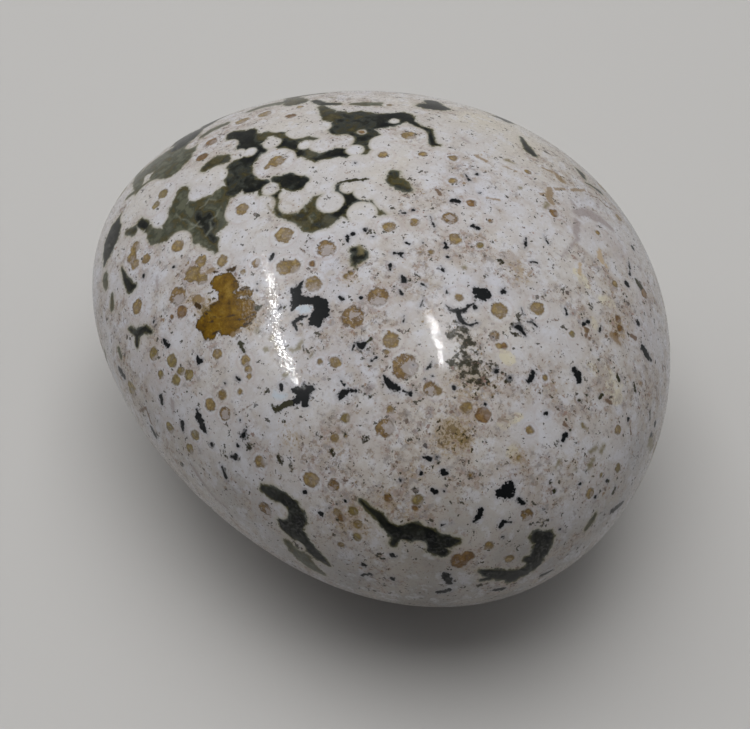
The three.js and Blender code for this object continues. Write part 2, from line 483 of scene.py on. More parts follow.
# %% Black flecks that the camera sees
BLACK_FLECKS = [
    [(303, 281, 0.12), (299, 287, 0.4), (292, 291, 0.35)], [(297, 290, 0.55), (297, 300, 0.7)],
    [(297, 301, 0.7), (293, 308, 0.4)], [(301, 300, 0.65), (312, 301, 0.6), (320, 304, 0.8)],
    [(320, 304, 0.8), (321, 312, 1.1), (317, 319, 0.9), (311, 323, 0.35)],
    [(307, 316, 0.2), (300, 318, 0.35), (294, 323, 0.35), (297, 330, 0.15)],
    [(463, 323, 0.25), (470, 325, 0.15), (477, 323, 0.3)],
    [(478, 292, 0.65), (482, 294, 0.85), (487, 296, 0.55)], [(476, 297, 0.4)],
    [(446, 305, 0.16), (450, 310, 0.32), (457, 312, 0.4), (465, 309, 0.3), (474, 303, 0.22)],
    [(458, 315, 0.28), (461, 320, 0.42)],
    [(383, 375, 0.12), (386, 381, 0.35), (392, 386, 0.6), (398, 389, 0.4)],
    [(403, 391, 0.18), (410, 394, 0.4)],
    [(294, 390, 0.35), (303, 391, 0.75), (311, 388, 0.45)], [(304, 394, 0.8), (305, 404, 0.4)],
    [(300, 398, 0.55), (294, 402, 0.45)], [(281, 385, 0.3), (281, 390, 0.25)],
    [(197, 410, 0.3), (199, 418, 0.58), (203, 427, 0.52), (206, 433, 0.2)],
    [(501, 493, 0.65), (507, 491, 0.9), (511, 485, 0.55)], [(510, 495, 0.55)],
    [(519, 500, 0.4), (523, 503, 0.4)], [(480, 511, 0.42), (479, 516, 0.42), (475, 521, 0.3)],
    [(500, 527, 0.28), (503, 522, 0.35), (511, 522, 0.18)],
    [(452, 201, 0.4), (457, 201, 0.45)], [(473, 226, 0.32), (477, 228, 0.38)],
    [(394, 253, 0.22), (401, 254, 0.38)], [(445, 242, 0.14), (446, 247, 0.32)],
    [(447, 257, 0.25)], [(402, 275, 0.16), (404, 281, 0.42)], [(400, 290, 0.14), (402, 294, 0.22)],
    [(423, 300, 0.15), (421, 305, 0.28)], [(505, 288, 0.14), (503, 292, 0.3)],
    [(515, 327, 0.22), (519, 327, 0.42), (522, 331, 0.28), (526, 336, 0.18)],
    [(528, 322, 0.15), (532, 322, 0.18), (537, 327, 0.13)], [(521, 309, 0.14), (524, 315, 0.18)],
    [(526, 238, 0.15), (526, 243, 0.26), (525, 248, 0.15)], [(544, 236, 0.15), (548, 243, 0.22)],
    [(531, 262, 0.2), (537, 263, 0.2)], [(430, 216, 0.12), (432, 221, 0.15), (434, 226, 0.28)],
    [(402, 213, 0.2), (405, 213, 0.2)], [(413, 210, 0.25)], [(465, 174, 0.1), (469, 180, 0.25)],
    [(477, 174, 0.25)], [(480, 193, 0.22)], [(390, 265, 0.25), (390, 270, 0.2)],
    [(421, 284, 0.2), (425, 286, 0.22)], [(353, 234, 0.3)], [(348, 237, 0.35), (348, 242, 0.25)],
    [(340, 297, 0.25), (342, 299, 0.3)], [(361, 298, 0.22)], [(441, 266, 0.15), (443, 270, 0.3)],
    [(475, 307, 0.35)], [(496, 371, 0.35)], [(510, 378, 0.3)],
    [(534, 373, 0.35), (530, 380, 0.4)], [(574, 370, 0.4), (578, 377, 0.5), (579, 382, 0.3)],
    [(643, 348, 0.5), (647, 355, 0.5), (651, 360, 0.3)], [(485, 404, 0.25)], [(454, 388, 0.28)],
    [(546, 413, 0.3)], [(565, 436, 0.4), (563, 441, 0.25)], [(423, 457, 0.2), (429, 459, 0.3)],
    [(437, 457, 0.2)], [(443, 472, 0.45), (447, 473, 0.3)], [(432, 490, 0.3), (436, 493, 0.3)],
    [(444, 491, 0.2)], [(446, 575, 0.6), (449, 582, 0.5)], [(440, 592, 0.5), (449, 590, 0.4)],
    [(494, 590, 0.4), (502, 589, 0.4)], [(612, 511, 0.5), (622, 503, 0.4)],
    [(655, 424, 0.4)], [(651, 436, 0.5)], [(628, 419, 0.3)], [(364, 565, 0.4)],
    [(370, 574, 0.3), (362, 575, 0.25)], [(321, 514, 0.32)], [(329, 508, 0.25)],
    [(345, 501, 0.25)], [(305, 492, 0.3)], [(393, 556, 0.4)], [(393, 579, 0.4)],
    [(421, 473, 0.25)], [(400, 480, 0.25)], [(442, 525, 0.15), (446, 524, 0.13)],
    [(452, 523, 0.12)],
    [(144, 276, 0.35)], [(174, 267, 0.28)], [(154, 321, 0.3)], [(273, 255, 0.3), (270, 260, 0.3)],
    [(281, 307, 0.35)], [(164, 341, 0.35), (168, 345, 0.4)], [(197, 355, 0.18), (199, 361, 0.45)],
    [(182, 423, 0.4), (183, 430, 0.3)],
    [(119, 369, 0.4), (124, 376, 0.5)], [(161, 396, 0.35), (162, 404, 0.35)],
    [(151, 427, 0.4), (155, 435, 0.5)], [(340, 397, 0.4), (344, 393, 0.5), (347, 391, 0.35)],
    [(357, 343, 0.22), (361, 346, 0.45), (366, 343, 0.25)],
    [(352, 350, 0.15), (354, 345, 0.2)], [(351, 391, 0.25), (356, 391, 0.3)],
    [(369, 352, 0.2)], [(372, 361, 0.25), (376, 358, 0.22)], [(246, 430, 0.2), (243, 436, 0.4)],
    [(231, 457, 0.25), (236, 457, 0.4)], [(222, 467, 0.25), (226, 477, 0.35)],
    [(212, 445, 0.35)], [(238, 446, 0.3)], [(503, 537, 0.25)],
    [(580, 484, 0.3)], [(607, 481, 0.3)], [(560, 529, 0.28)], [(355, 163, 0.25)],
    [(542, 575, 0.4), (551, 571, 0.3)], [(432, 361, 0.14), (430, 367, 0.22), (427, 369, 0.18)],
    [(425, 379, 0.2)], [(432, 376, 0.2)], [(565, 308, 0.2), (567, 314, 0.25)],
    [(588, 321, 0.3), (583, 325, 0.3)], [(601, 326, 0.15), (600, 332, 0.2)], [(638, 323, 0.4)],
    [(633, 248, 0.4)], [(629, 262, 0.2), (630, 275, 0.25)], [(627, 284, 0.4)],
    [(543, 509, 0.22)], [(240, 380, 0.2), (236, 377, 0.2)], [(225, 383, 0.22)],
    [(404, 316, 0.15), (404, 321, 0.18)], [(493, 337, 0.15)], [(446, 288, 0.15), (447, 293, 0.15)],
    [(413, 365, 0.15)], [(341, 381, 0.2), (344, 385, 0.2)], [(407, 243, 0.25), (409, 244, 0.2)],
    [(423, 243, 0.18)], [(373, 237, 0.22)], [(365, 230, 0.3)], [(240, 420, 0.18)],
    [(255, 404, 0.2)], [(257, 283, 0.2)], [(257, 290, 0.2)], [(595, 497, 0.3)],
]
print("strokes of black flecks:", len(BLACK_FLECKS))

# %% [markdown]
# ## Brown and olive veins
#
# Thin veins of brown, tan and olive wander between the orbs, where iron stained the last
# quartz to grow. The darker olive ones are bits of the dark rock seen through clear quartz.

# %% Brown and olive veins that the camera sees
DARK_BROWN_VEINS = [
    [(206, 313, 0.15), (214, 317, 0.15), (226, 317, 0.12), (235, 315, 0.2)],
    [(236, 320, 0.12), (245, 319, 0.2), (254, 314, 0.15)], [(244, 325, 0.15), (251, 323, 0.2)],
    [(208, 322, 0.12), (213, 322, 0.2)], [(213, 334, 0.2), (219, 331, 0.15)],
    [(234, 281, 0.12), (239, 282, 0.15)], [(212, 305, 0.15), (219, 302, 0.12)],
    [(228, 270, 0.3), (234, 269, 0.35)], [(212, 271, 0.2), (217, 272, 0.3)],
    [(241, 289, 0.2), (249, 288, 0.25)], [(196, 304, 0.3), (199, 307, 0.35)],
    [(544, 195, 0.35)], [(550, 196, 0.3)], [(559, 178, 0.25), (562, 182, 0.25)],
]
BROWN_VEINS = [
    [(140, 411, 0.25), (146, 408, 0.25), (149, 416, 0.2), (151, 423, 0.2)],
    [(551, 320, 0.15), (559, 320, 0.15)],
    [(300, 248, 0.2), (305, 252, 0.22)], [(437, 190, 0.2), (440, 194, 0.3)],
    [(243, 410, 0.15), (256, 402, 0.12)],
    [(630, 335, 0.3), (636, 338, 0.3)], [(606, 336, 0.3)], [(590, 338, 0.3)],
    [(564, 422, 0.25), (567, 426, 0.2)], [(630, 427, 0.15), (631, 434, 0.2)],
    [(607, 400, 0.3), (611, 403, 0.25)], [(662, 362, 0.2), (663, 371, 0.25)],
    [(583, 326, 0.2), (588, 330, 0.25), (586, 336, 0.3)], [(565, 424, 0.3)],
    [(586, 194, 0.15), (598, 198, 0.15), (606, 206, 0.2), (612, 209, 0.15)],
]
TAN_VEINS = [
    [(550, 189, 0.47), (549, 197, 0.56), (552, 203, 0.38)], [(556, 189, 0.38), (564, 189, 0.29)],
    [(541, 194, 0.29), (546, 194, 0.29)], [(556, 174, 0.33), (562, 181, 0.47)],
    [(572, 190, 0.29), (584, 190, 0.29)],
    [(543, 168, 0.29), (552, 172, 0.29)], [(487, 198, 0.18), (499, 200, 0.23)],
    [(475, 155, 0.29), (486, 161, 0.29)], [(503, 166, 0.18), (516, 171, 0.23)],
    [(612, 335, 0.38), (620, 344, 0.29)], [(208, 272, 0.38), (213, 270, 0.38)],
    [(196, 298, 0.38), (202, 300, 0.38)], [(233, 334, 0.38), (241, 331, 0.29)],
]
DARK_OLIVE_VEINS = [
    [(294, 402, 0.4), (286, 404, 0.35), (278, 409, 0.45)], [(276, 410, 0.35), (272, 406, 0.25)],
    [(241, 344, 0.35), (243, 350, 0.35)], [(366, 343, 0.2), (371, 339, 0.25)],
    [(338, 183, 0.2), (346, 181, 0.3), (357, 180, 0.3), (368, 179, 0.22)], [(284, 308, 0.3)],
    [(293, 351, 0.15), (297, 350, 0.18)], [(303, 346, 0.15), (304, 351, 0.12)],
    [(257, 308, 0.3), (262, 306, 0.2)], [(636, 280, 0.35), (640, 286, 0.55)],
    [(615, 488, 0.3), (613, 493, 0.25)], [(608, 481, 0.25)], [(550, 482, 0.25)],
    [(554, 491, 0.3)], [(558, 442, 0.25)], [(561, 446, 0.2)], [(634, 383, 0.2), (635, 390, 0.35)],
    [(587, 395, 0.2)], [(579, 400, 0.25), (583, 402, 0.15)], [(588, 388, 0.18)],
    [(570, 430, 0.2)], [(576, 443, 0.2)], [(650, 411, 0.25), (650, 419, 0.25)],
    [(617, 375, 0.2), (619, 381, 0.25)], [(586, 473, 0.2)], [(602, 395, 0.22), (599, 399, 0.18)],
]
OLIVE_VEINS = [
    [(506, 160, 0.4), (514, 163, 0.2)], [(548, 204, 0.3), (544, 208, 0.25)],
    [(268, 205, 0.15), (273, 213, 0.15)], [(520, 188, 0.3)], [(464, 268, 0.25)],
    [(360, 247, 0.4), (361, 252, 0.4)], [(310, 357, 0.15), (313, 352, 0.15)],
    [(330, 97, 0.3), (336, 98, 0.3)], [(596, 447, 0.3), (590, 452, 0.3)],
    [(272, 338, 0.38)], [(275, 343, 0.22)], [(277, 348, 0.32)], [(266, 349, 0.35)],
    [(258, 331, 0.38)], [(285, 375, 0.42), (288, 372, 0.25)],
    [(289, 349, 0.2), (294, 350, 0.3), (298, 348, 0.35), (302, 341, 0.2)],
    [(604, 446, 0.3), (601, 451, 0.4)], [(594, 459, 0.3), (590, 465, 0.4), (588, 470, 0.25)],
    [(650, 441, 0.8), (652, 447, 0.7)], [(582, 425, 0.3), (587, 429, 0.2)],
    [(576, 470, 0.25)], [(559, 462, 0.3), (556, 467, 0.2)],
]
BROWN_AND_OLIVE = (DARK_BROWN_VEINS, BROWN_VEINS, TAN_VEINS, DARK_OLIVE_VEINS, OLIVE_VEINS)
print("brown and olive strokes:", [len(strokes) for strokes in BROWN_AND_OLIVE])

# %% [markdown]
# ## Pale bands and painted glints
#
# Soft bands of mauve, a few bits of pale gold and pale blue, and fine white lines in the
# grey-green rock come last. The white lines are painted glints: small quartz crystals that
# catch the light. Every list has a tone, and all are joined into one, because the shader
# paints them alike: only the colour differs.

# %% Pale bands and painted glints that the camera sees
MAUVE_BANDS = [
    [(577, 212, 0.67), (588, 213, 0.84), (598, 218, 0.76), (607, 225, 0.59), (612, 229, 0.42)],
    [(577, 222, 0.5), (576, 232, 0.5), (578, 240, 0.29)],
    [(571, 200, 0.17), (574, 204, 0.2), (578, 210, 0.25)],
    [(562, 256, 0.2), (570, 248, 0.29), (577, 239, 0.29)],
    [(598, 200, 0.25), (598, 207, 0.29)], [(172, 402, 0.42), (174, 412, 0.29)],
    [(157, 276, 0.17), (157, 287, 0.29)], [(462, 138, 0.17), (468, 142, 0.29)],
    [(404, 285, 0.42)], [(640, 268, 0.42)], [(311, 240, 0.29)], [(300, 330, 0.25)],
    [(368, 390, 0.42), (372, 386, 0.29)],
    [(191, 464, 0.25), (199, 477, 0.35), (207, 488, 0.3), (216, 499, 0.35), (227, 508, 0.25)],
]
PALE_GOLD_VEINS = [
    [(600, 250, 0.35), (600, 257, 0.55), (602, 262, 0.4)], [(606, 266, 0.35)],
    [(580, 264, 0.3), (580, 273, 0.35)], [(546, 190, 0.25)],
]
PALE_BLUE_PATCHES = [
    [(297, 308, 0.3), (303, 309, 0.6), (310, 308, 0.5)], [(276, 395, 0.5), (284, 397, 0.4)],
]
# Painted glints: pale lines where small quartz crystals in the grey-green rock catch the light
QUARTZ_GLINTS = [
    [(176, 214, 0.03), (181, 219, 0.05), (187, 220, 0.02), (193, 225, 0.05), (201, 227, 0.02)],
    [(200, 208, 0.02), (205, 205, 0.05), (209, 199, 0.02), (216, 200, 0.04)],
    [(206, 236, 0.03), (211, 229, 0.05), (210, 220, 0.02), (216, 216, 0.05), (221, 207, 0.03)],
    [(186, 231, 0.02), (193, 228, 0.04), (199, 222, 0.02)], [(303, 205, 0.03), (306, 211, 0.05)],
    [(309, 217, 0.05), (312, 222, 0.03)],
]
VEIN_TONES = {
    "black": 0.0,
    "dark_olive": 0.1,
    "dark_brown": 0.2,
    "brown": 0.4,
    "tan": 0.5,
    "pale_gold": 0.6,
    "olive": 0.75,
    "mauve": 0.9,
    "quartz_glint": 0.95,
    "pale_blue": 1.0,
}
SEEN_VEINS = {
    "black": BLACK_FLECKS,
    "dark_brown": DARK_BROWN_VEINS,
    "brown": BROWN_VEINS,
    "tan": TAN_VEINS,
    "olive": OLIVE_VEINS,
    "mauve": MAUVE_BANDS,
    "dark_olive": DARK_OLIVE_VEINS,
    "pale_gold": PALE_GOLD_VEINS,
    "pale_blue": PALE_BLUE_PATCHES,
    "quartz_glint": QUARTZ_GLINTS,
}

fleck_strokes = toned_strokes(SEEN_VEINS, VEIN_TONES)
print("flecks and veins:", len(fleck_strokes))

# %% [markdown]
# ## Ochre and yellow cream
#
# One patch of the stone is solid ochre, made of several orbs that ran together. A few
# places are a yellower cream. Both have an edge, so they are strokes too.

# %% Ochre and cream patches that the camera sees
OCHRE_PATCH = [
    [(219, 282, 1.0), (224, 283, 1.25), (231, 285, 0.9)],
    [(226, 292, 1.0), (227, 300, 1.05)],
    [(238, 294, 0.4), (246, 291, 0.55), (251, 293, 0.35)],
    [(214, 307, 0.6), (226, 306, 1.1), (240, 307, 1.0), (248, 305, 0.8), (256, 308, 0.35)],
    [(206, 314, 0.5), (222, 316, 0.7), (238, 316, 0.9), (250, 314, 0.8)],
    [(203, 323, 0.85), (212, 325, 0.95), (222, 324, 0.9), (232, 323, 0.8), (246, 321, 0.7)],
    [(209, 333, 0.8), (213, 336, 0.45)],
    [(222, 332, 0.4), (233, 331, 0.5)],
]
CREAM_PATCHES = [
    [(590, 366, 0.4), (600, 372, 0.8), (608, 378, 1.3), (613, 386, 1.5), (616, 395, 1.1)],
    [(592, 320, 0.5), (598, 328, 0.4)], [(604, 300, 0.8), (612, 304, 0.6)],
    [(503, 352, 0.5), (509, 360, 0.7)], [(577, 272, 0.5), (586, 284, 0.6)],
    [(503, 424, 0.6), (520, 416, 0.4)], [(512, 452, 0.7), (516, 459, 0.5)],
]

ochre_strokes = [placed(stroke) for stroke in OCHRE_PATCH]
cream_strokes = [placed(stroke) for stroke in CREAM_PATCHES]
print("strokes of ochre:", len(ochre_strokes), "of yellow cream:", len(cream_strokes))

# %% [markdown]
# ## Soft stains and painted shade
#
# Softer stains tint the white rock: rusty dust, soot-like crumbs, cream and mauve. The grey
# list is partly a greyer body and partly painted shade, darkest along the bottom of the
# frame, where the underside turns from the light. Each stain is a disc without an edge,
# given by column, row, radius and strength. Two more lists say where the rock is dusty with
# fine specks and where it is clean.

# %% Stains and painted shade that the camera sees
RUST_DUST = [
    (441, 428, 1.0, 0.5), (452, 432, 1.8, 1.0), (463, 440, 1.4, 0.9), (446, 442, 1.6, 0.8),
    (470, 385, 2.6, 0.6), (388, 500, 1.5, 0.7), (470, 410, 1.6, 0.6), (518, 456, 1.2, 0.6),
    (206, 308, 1.4, 1.0), (190, 300, 1.2, 0.7), (200, 268, 1.2, 0.5), (252, 325, 1.0, 0.7),
    (420, 470, 1.8, 0.4), (550, 196, 1.2, 0.5), (555, 385, 1.4, 0.4), (350, 520, 2.2, 0.7),
    (618, 326, 1.7, 0.8), (520, 272, 1.8, 0.5), (335, 445, 1.6, 0.4), (290, 437, 1.8, 0.5),
    (560, 178, 1.2, 0.6), (350, 278, 1.2, 0.6), (610, 290, 1.6, 0.4), (485, 156, 1.2, 0.4),
    (340, 520, 1.6, 0.6), (366, 530, 1.5, 0.5), (625, 290, 1.6, 0.3), (490, 384, 2.0, 0.4),
    (463, 560, 1.6, 0.5), (600, 470, 1.8, 0.3), (575, 460, 1.6, 0.3), (410, 512, 1.6, 0.5),
]
SOOT = [
    (461, 333, 1.2, 1.2), (462, 340, 1.1, 1.2), (472, 344, 0.75, 0.8), (466, 354, 0.85, 0.85),
    (456, 364, 0.7, 0.95), (463, 367, 1.0, 1.2), (471, 371, 1.35, 1.2), (476, 375, 1.2, 1.2),
    (495, 370, 0.55, 0.9), (358, 255, 0.8, 1.1), (352, 271, 0.45, 0.8), (519, 328, 0.75, 1.0),
    (531, 324, 0.5, 0.75), (369, 391, 0.65, 0.75), (543, 521, 0.55, 1.0), (542, 576, 0.55, 0.9),
    (370, 230, 0.4, 0.9), (390, 267, 0.35, 0.8), (250, 445, 0.55, 0.6), (297, 546, 0.6, 0.6),
    (640, 284, 0.65, 0.9), (404, 281, 0.6, 0.6), (434, 460, 0.6, 0.6), (360, 347, 0.7, 0.6),
    (306, 396, 0.9, 0.7), (508, 378, 0.5, 0.6), (235, 457, 0.6, 0.7), (243, 436, 0.6, 0.7),
    (143, 411, 0.5, 0.7), (155, 432, 0.55, 0.7), (161, 399, 0.5, 0.5), (182, 425, 0.45, 0.6),
    (180, 462, 0.45, 0.9), (211, 444, 0.5, 0.5), (224, 455, 0.45, 0.6), (225, 470, 0.5, 0.6),
    (237, 380, 0.4, 0.5), (262, 390, 0.5, 0.5), (279, 459, 0.45, 0.8), (292, 468, 0.45, 0.7),
    (282, 478, 0.4, 0.6), (320, 436, 0.4, 0.7), (330, 452, 0.45, 0.6), (106, 358, 0.5, 0.6),
    (345, 434, 0.4, 0.6), (365, 440, 0.4, 0.6), (416, 490, 0.4, 0.6), (352, 470, 0.4, 0.6),
    (380, 556, 0.4, 0.7), (372, 590, 0.4, 0.7), (480, 585, 0.4, 0.8), (523, 600, 0.4, 0.6),
    (500, 262, 0.35, 0.6), (552, 262, 0.35, 0.6), (590, 305, 0.4, 0.6), (545, 298, 0.4, 0.5),
]
CREAM = [
    (480, 118, 7.0, 0.95), (530, 145, 6.0, 0.85), (420, 105, 5.0, 0.5), (440, 480, 6.0, 0.5),
    (400, 560, 6.0, 0.4), (300, 120, 6.0, 0.5), (200, 160, 6.0, 0.4), (380, 160, 5.0, 0.35),
    (260, 225, 4.0, 0.3), (560, 160, 4.0, 0.5), (600, 290, 5.0, 0.3), (610, 350, 5.0, 0.4),
    (450, 420, 6.0, 0.5), (150, 190, 5.0, 0.4), (360, 500, 5.0, 0.3), (470, 560, 5.0, 0.3),
    (575, 270, 3.0, 0.4), (495, 330, 3.0, 0.3),
]
MAUVE = [
    (326, 326, 0.9, 0.5), (520, 470, 1.8, 0.3), (640, 330, 3.0, 0.35), (540, 500, 2.0, 0.3),
    (620, 250, 2.5, 0.5), (645, 300, 2.5, 0.35), (500, 380, 1.8, 0.3), (575, 220, 2.5, 0.3),
    (148, 375, 3.0, 0.35), (320, 455, 2.5, 0.3), (400, 300, 3.0, 0.2), (650, 380, 3.0, 0.4),
]
# Painted shade, partly a greyer body: a warm grey tint that is strongest along the bottom of the
# frame
SHADE_AND_GREY = [
    (430, 602, 7.0, 1.0), (500, 592, 6.0, 0.95), (360, 585, 6.0, 0.8), (560, 560, 6.0, 0.75),
    (300, 560, 6.0, 0.55), (240, 500, 5.0, 0.5), (610, 510, 5.0, 0.6), (180, 450, 4.0, 0.35),
    (640, 450, 4.0, 0.45), (150, 415, 3.0, 0.35), (430, 560, 5.0, 0.75), (520, 550, 5.0, 0.7),
    (450, 515, 5.0, 0.55), (255, 450, 3.0, 0.3), (655, 400, 3.0, 0.3),
]
DUSTY = [
    (445, 435, 6.0, 1.0), (400, 480, 5.0, 0.8), (418, 285, 2.5, 0.8), (470, 380, 3.0, 0.9),
    (350, 318, 3.0, 0.9), (385, 318, 2.0, 0.8), (330, 450, 4.5, 0.7), (540, 370, 4.0, 0.3),
    (560, 480, 4.5, 0.6), (250, 320, 2.5, 0.7), (615, 330, 2.6, 0.6), (555, 290, 4.0, 0.25),
    (300, 340, 2.5, 0.4), (360, 370, 2.5, 0.5), (430, 262, 3.5, 0.8), (590, 400, 4.0, 0.45),
    (520, 272, 2.0, 0.7), (345, 520, 3.5, 0.7), (490, 390, 2.5, 0.8), (385, 270, 2.0, 0.6),
    (640, 380, 4.0, 0.6), (470, 470, 4.0, 0.7), (270, 450, 3.0, 0.5), (560, 215, 2.0, 0.4),
]
CLEAN = [
    (510, 230, 3.0, 1.0), (535, 425, 2.2, 1.0), (285, 420, 2.2, 0.9), (240, 225, 3.0, 1.0),
    (360, 205, 3.5, 1.0), (200, 185, 3.0, 1.0), (480, 130, 4.0, 1.0), (160, 200, 3.0, 1.0),
    (505, 300, 1.8, 0.7), (400, 120, 2.0, 0.8), (320, 165, 2.5, 1.0), (505, 355, 1.2, 0.8),
    (440, 340, 1.6, 0.6), (500, 515, 2.2, 0.8), (225, 430, 2.2, 0.8), (290, 340, 1.6, 0.7),
    (330, 225, 2.5, 1.0), (265, 400, 1.5, 0.8), (460, 275, 2.0, 0.8), (400, 345, 1.2, 0.7),
    (398, 310, 2.0, 0.9), (345, 298, 1.5, 0.6), (545, 330, 2.0, 0.7), (575, 350, 2.0, 0.6),
    (300, 130, 4.0, 1.0), (380, 150, 3.0, 0.9), (550, 345, 1.6, 0.6), (440, 480, 1.0, 0.5),
    (520, 550, 2.5, 0.5), (590, 240, 1.6, 0.6), (290, 240, 2.2, 0.8),
]
SEEN_STAINS = {
    "rust_dust": RUST_DUST,
    "cream": CREAM,
    "mauve": MAUVE,
    "shade_and_grey": SHADE_AND_GREY,
    "dusty": DUSTY,
    "clean": CLEAN,
    "soot": SOOT,
}

stains = {name: placed(discs) for name, discs in SEEN_STAINS.items()}
print("stains:", {name: len(rows) for name, rows in stains.items()})

# %% [markdown]
# ## The sides that the camera doesn't see
#
# The same rock goes on all round, so the hidden skin gets the same kinds of mark by
# chance, at the same sizes and as close together. Every draw comes from one seeded
# generator, so the stone is the same each time. Pockets of dark rock wander from a
# starting place in short steps, and they are commoner towards the end of the stone where
# the camera sees the most of them.

# %% Chance hearts on the hidden sides
CHANCE = np.random.default_rng(41)
HIDDEN_FACING = 0.1
HIDDEN_HEARTS = 190
HEARTS_TRIED = 2 * HIDDEN_HEARTS
USUAL_HEART = math.log(0.7)
HEART_SPREAD = 0.32
SMALLEST_HEART = 0.35
LARGEST_HEART = 1.4
HEART_CLEARANCE = 1.8
HEART_CLOSENESS = 0.75
DISC_GROWTH = (1.3, 2.0)
DISC_MARGIN = 0.2
CHANCE_HEART_TONES = (0.0, 0.45, 0.45, 0.5, 0.6, 1.0)
CHANCE_HOLLOWS = (0.0, 0.1, 0.2, 0.3, 1.0)


def chance_faces(count, weights):
    """Numbers of faces drawn by chance, in proportion to their area and a weight."""
    shares = face_areas * weights
    return CHANCE.choice(face_count, size=count, p=shares / shares.sum())


def well_apart(candidates, radii, taken, taken_radii, closeness):
    """Which candidates stay clear of the taken marks and of each other."""
    kept = []
    places = list(taken)
    sizes = list(taken_radii)
    for number, (place, radius) in enumerate(zip(candidates, radii)):
        if places:
            apart = np.linalg.norm(np.array(places) - place, axis=1)
            if (apart < closeness * (np.array(sizes) + radius)).any():
                continue
        kept.append(number)
        places.append(place)
        sizes.append(radius)
    return kept


hidden = (facing < HIDDEN_FACING).astype(float)
heart_faces = chance_faces(HEARTS_TRIED, hidden)
heart_sizes = np.exp(CHANCE.normal(USUAL_HEART, HEART_SPREAD, HEARTS_TRIED))
heart_sizes = heart_sizes.clip(SMALLEST_HEART, LARGEST_HEART)
kept = well_apart(
    face_middles[heart_faces],
    heart_sizes * HEART_CLEARANCE,
    seen_hearts[:, :3],
    seen_hearts[:, 4],
    HEART_CLOSENESS,
)[:HIDDEN_HEARTS]
chance_tones = CHANCE.choice(CHANCE_HEART_TONES, size=len(kept))
chance_hollows = CHANCE.choice(CHANCE_HOLLOWS, size=len(kept))
disc_sizes = heart_sizes[kept] * CHANCE.uniform(*DISC_GROWTH, len(kept)) + DISC_MARGIN
hidden_hearts = np.column_stack(
    [face_middles[heart_faces[kept]], heart_sizes[kept], disc_sizes, chance_tones, chance_hollows]
)
hearts = np.vstack([seen_hearts, hidden_hearts])
print("hearts:", len(hearts))

# %% [markdown]
# ## Chance pockets, flecks and stains
#
# A pocket of dark rock is a walk over the skin: each step keeps most of the last heading
# and drops one disc, and the nearest place on the skin keeps it from leaving the stone. A
# fleck is two discs side by side. A stain is one soft disc.

# %% Chance rock and stains on the hidden sides
HIDDEN_POCKETS = 30
HIDDEN_FLECKS = 230
HIDDEN_STAINS = 23
DARK_END = 14.0
POCKET_STEPS = (3, 10)
POCKET_DISCS = (0.5, 1.9)
STEP_LENGTHS = (0.9, 1.9)
HEADING_CHANGE = 0.8
POCKET_TONES = [ROCK_TONES[name] for name in ("black", "black", "olive", "grey_green")]
CHANCE_FLECK_TONES = (0.0, 0.0, 0.0, 0.4, 0.55, 0.75)
FLECK_DISCS = (0.15, 0.5)
FLECK_REACH = 0.5
FLECK_TAPER = 0.7
STAIN_SPREAD = (0.6, 1.4)
STAIN_STRENGTHS = (0.3, 0.9)
STAIN_SIZES = {
    "rust_dust": 1.3,
    "cream": 4.0,
    "mauve": 2.0,
    "shade_and_grey": 5.0,
    "dusty": 4.5,
    "clean": 2.8,
    "soot": 0.8,
}


def chance_pocket(start, steps):
    """The discs of one pocket of dark rock that wanders over the skin in short steps."""
    disc_place = start
    heading = CHANCE.normal(size=3)
    discs = []
    for _ in range(steps):
        discs.append([*disc_place, CHANCE.uniform(*POCKET_DISCS)])
        heading = heading + CHANCE.normal(size=3) * HEADING_CHANGE
        step = heading / np.linalg.norm(heading) * CHANCE.uniform(*STEP_LENGTHS)
        found, _, _, _ = skin_tree.find_nearest(Vector(disc_place + step) * MM)
        disc_place = np.array(found) / MM
    return np.array(discs)


end_weight = hidden * np.exp(-face_middles[:, 0] / DARK_END)
for pocket in chance_faces(HIDDEN_POCKETS, end_weight):
    steps = CHANCE.integers(*POCKET_STEPS)
    tone = CHANCE.choice(POCKET_TONES)
    rock_strokes.append((chance_pocket(face_middles[pocket], steps), tone))
for fleck in chance_faces(HIDDEN_FLECKS, hidden):
    first = face_middles[fleck]
    size = CHANCE.uniform(*FLECK_DISCS)
    second = first + CHANCE.normal(size=3) * FLECK_REACH
    tone = CHANCE.choice(CHANCE_FLECK_TONES)
    discs = np.array([[*first, size], [*second, size * FLECK_TAPER]])
    fleck_strokes.append((discs, tone))
for name, radius in STAIN_SIZES.items():
    spots = chance_faces(HIDDEN_STAINS, hidden)
    radii = CHANCE.uniform(*STAIN_SPREAD, len(spots)) * radius
    strengths = CHANCE.uniform(*STAIN_STRENGTHS, len(spots))
    rows = np.column_stack([face_middles[spots], radii, strengths])
    stains[name] = np.vstack([stains[name], rows])
print("strokes of rock:", len(rock_strokes), "flecks and veins:", len(fleck_strokes))

# %% [markdown]
# ## Filling the white rock with orbs
#
# Between the marked orbs the white rock is orbs as well, only fainter. They are set like
# pebbles in a jar: large ones first, then smaller ones where there is room, each pressed
# a little into its neighbours. Each row below gives a radius and how many are tried. They
# keep clear of the dark rock on the near side, whose orbs are all listed, and bite a
# little into the chance pockets on the hidden sides.

# %% Fill of plain orbs
FILL_SIZES = ((2.2, 500), (1.6, 2200), (1.15, 5000), (0.8, 7000))
FILL_SPREAD = (0.85, 1.2)
FILL_CLOSENESS = 0.8
HIDDEN_BITE = 0.55
TINY = 1e-4


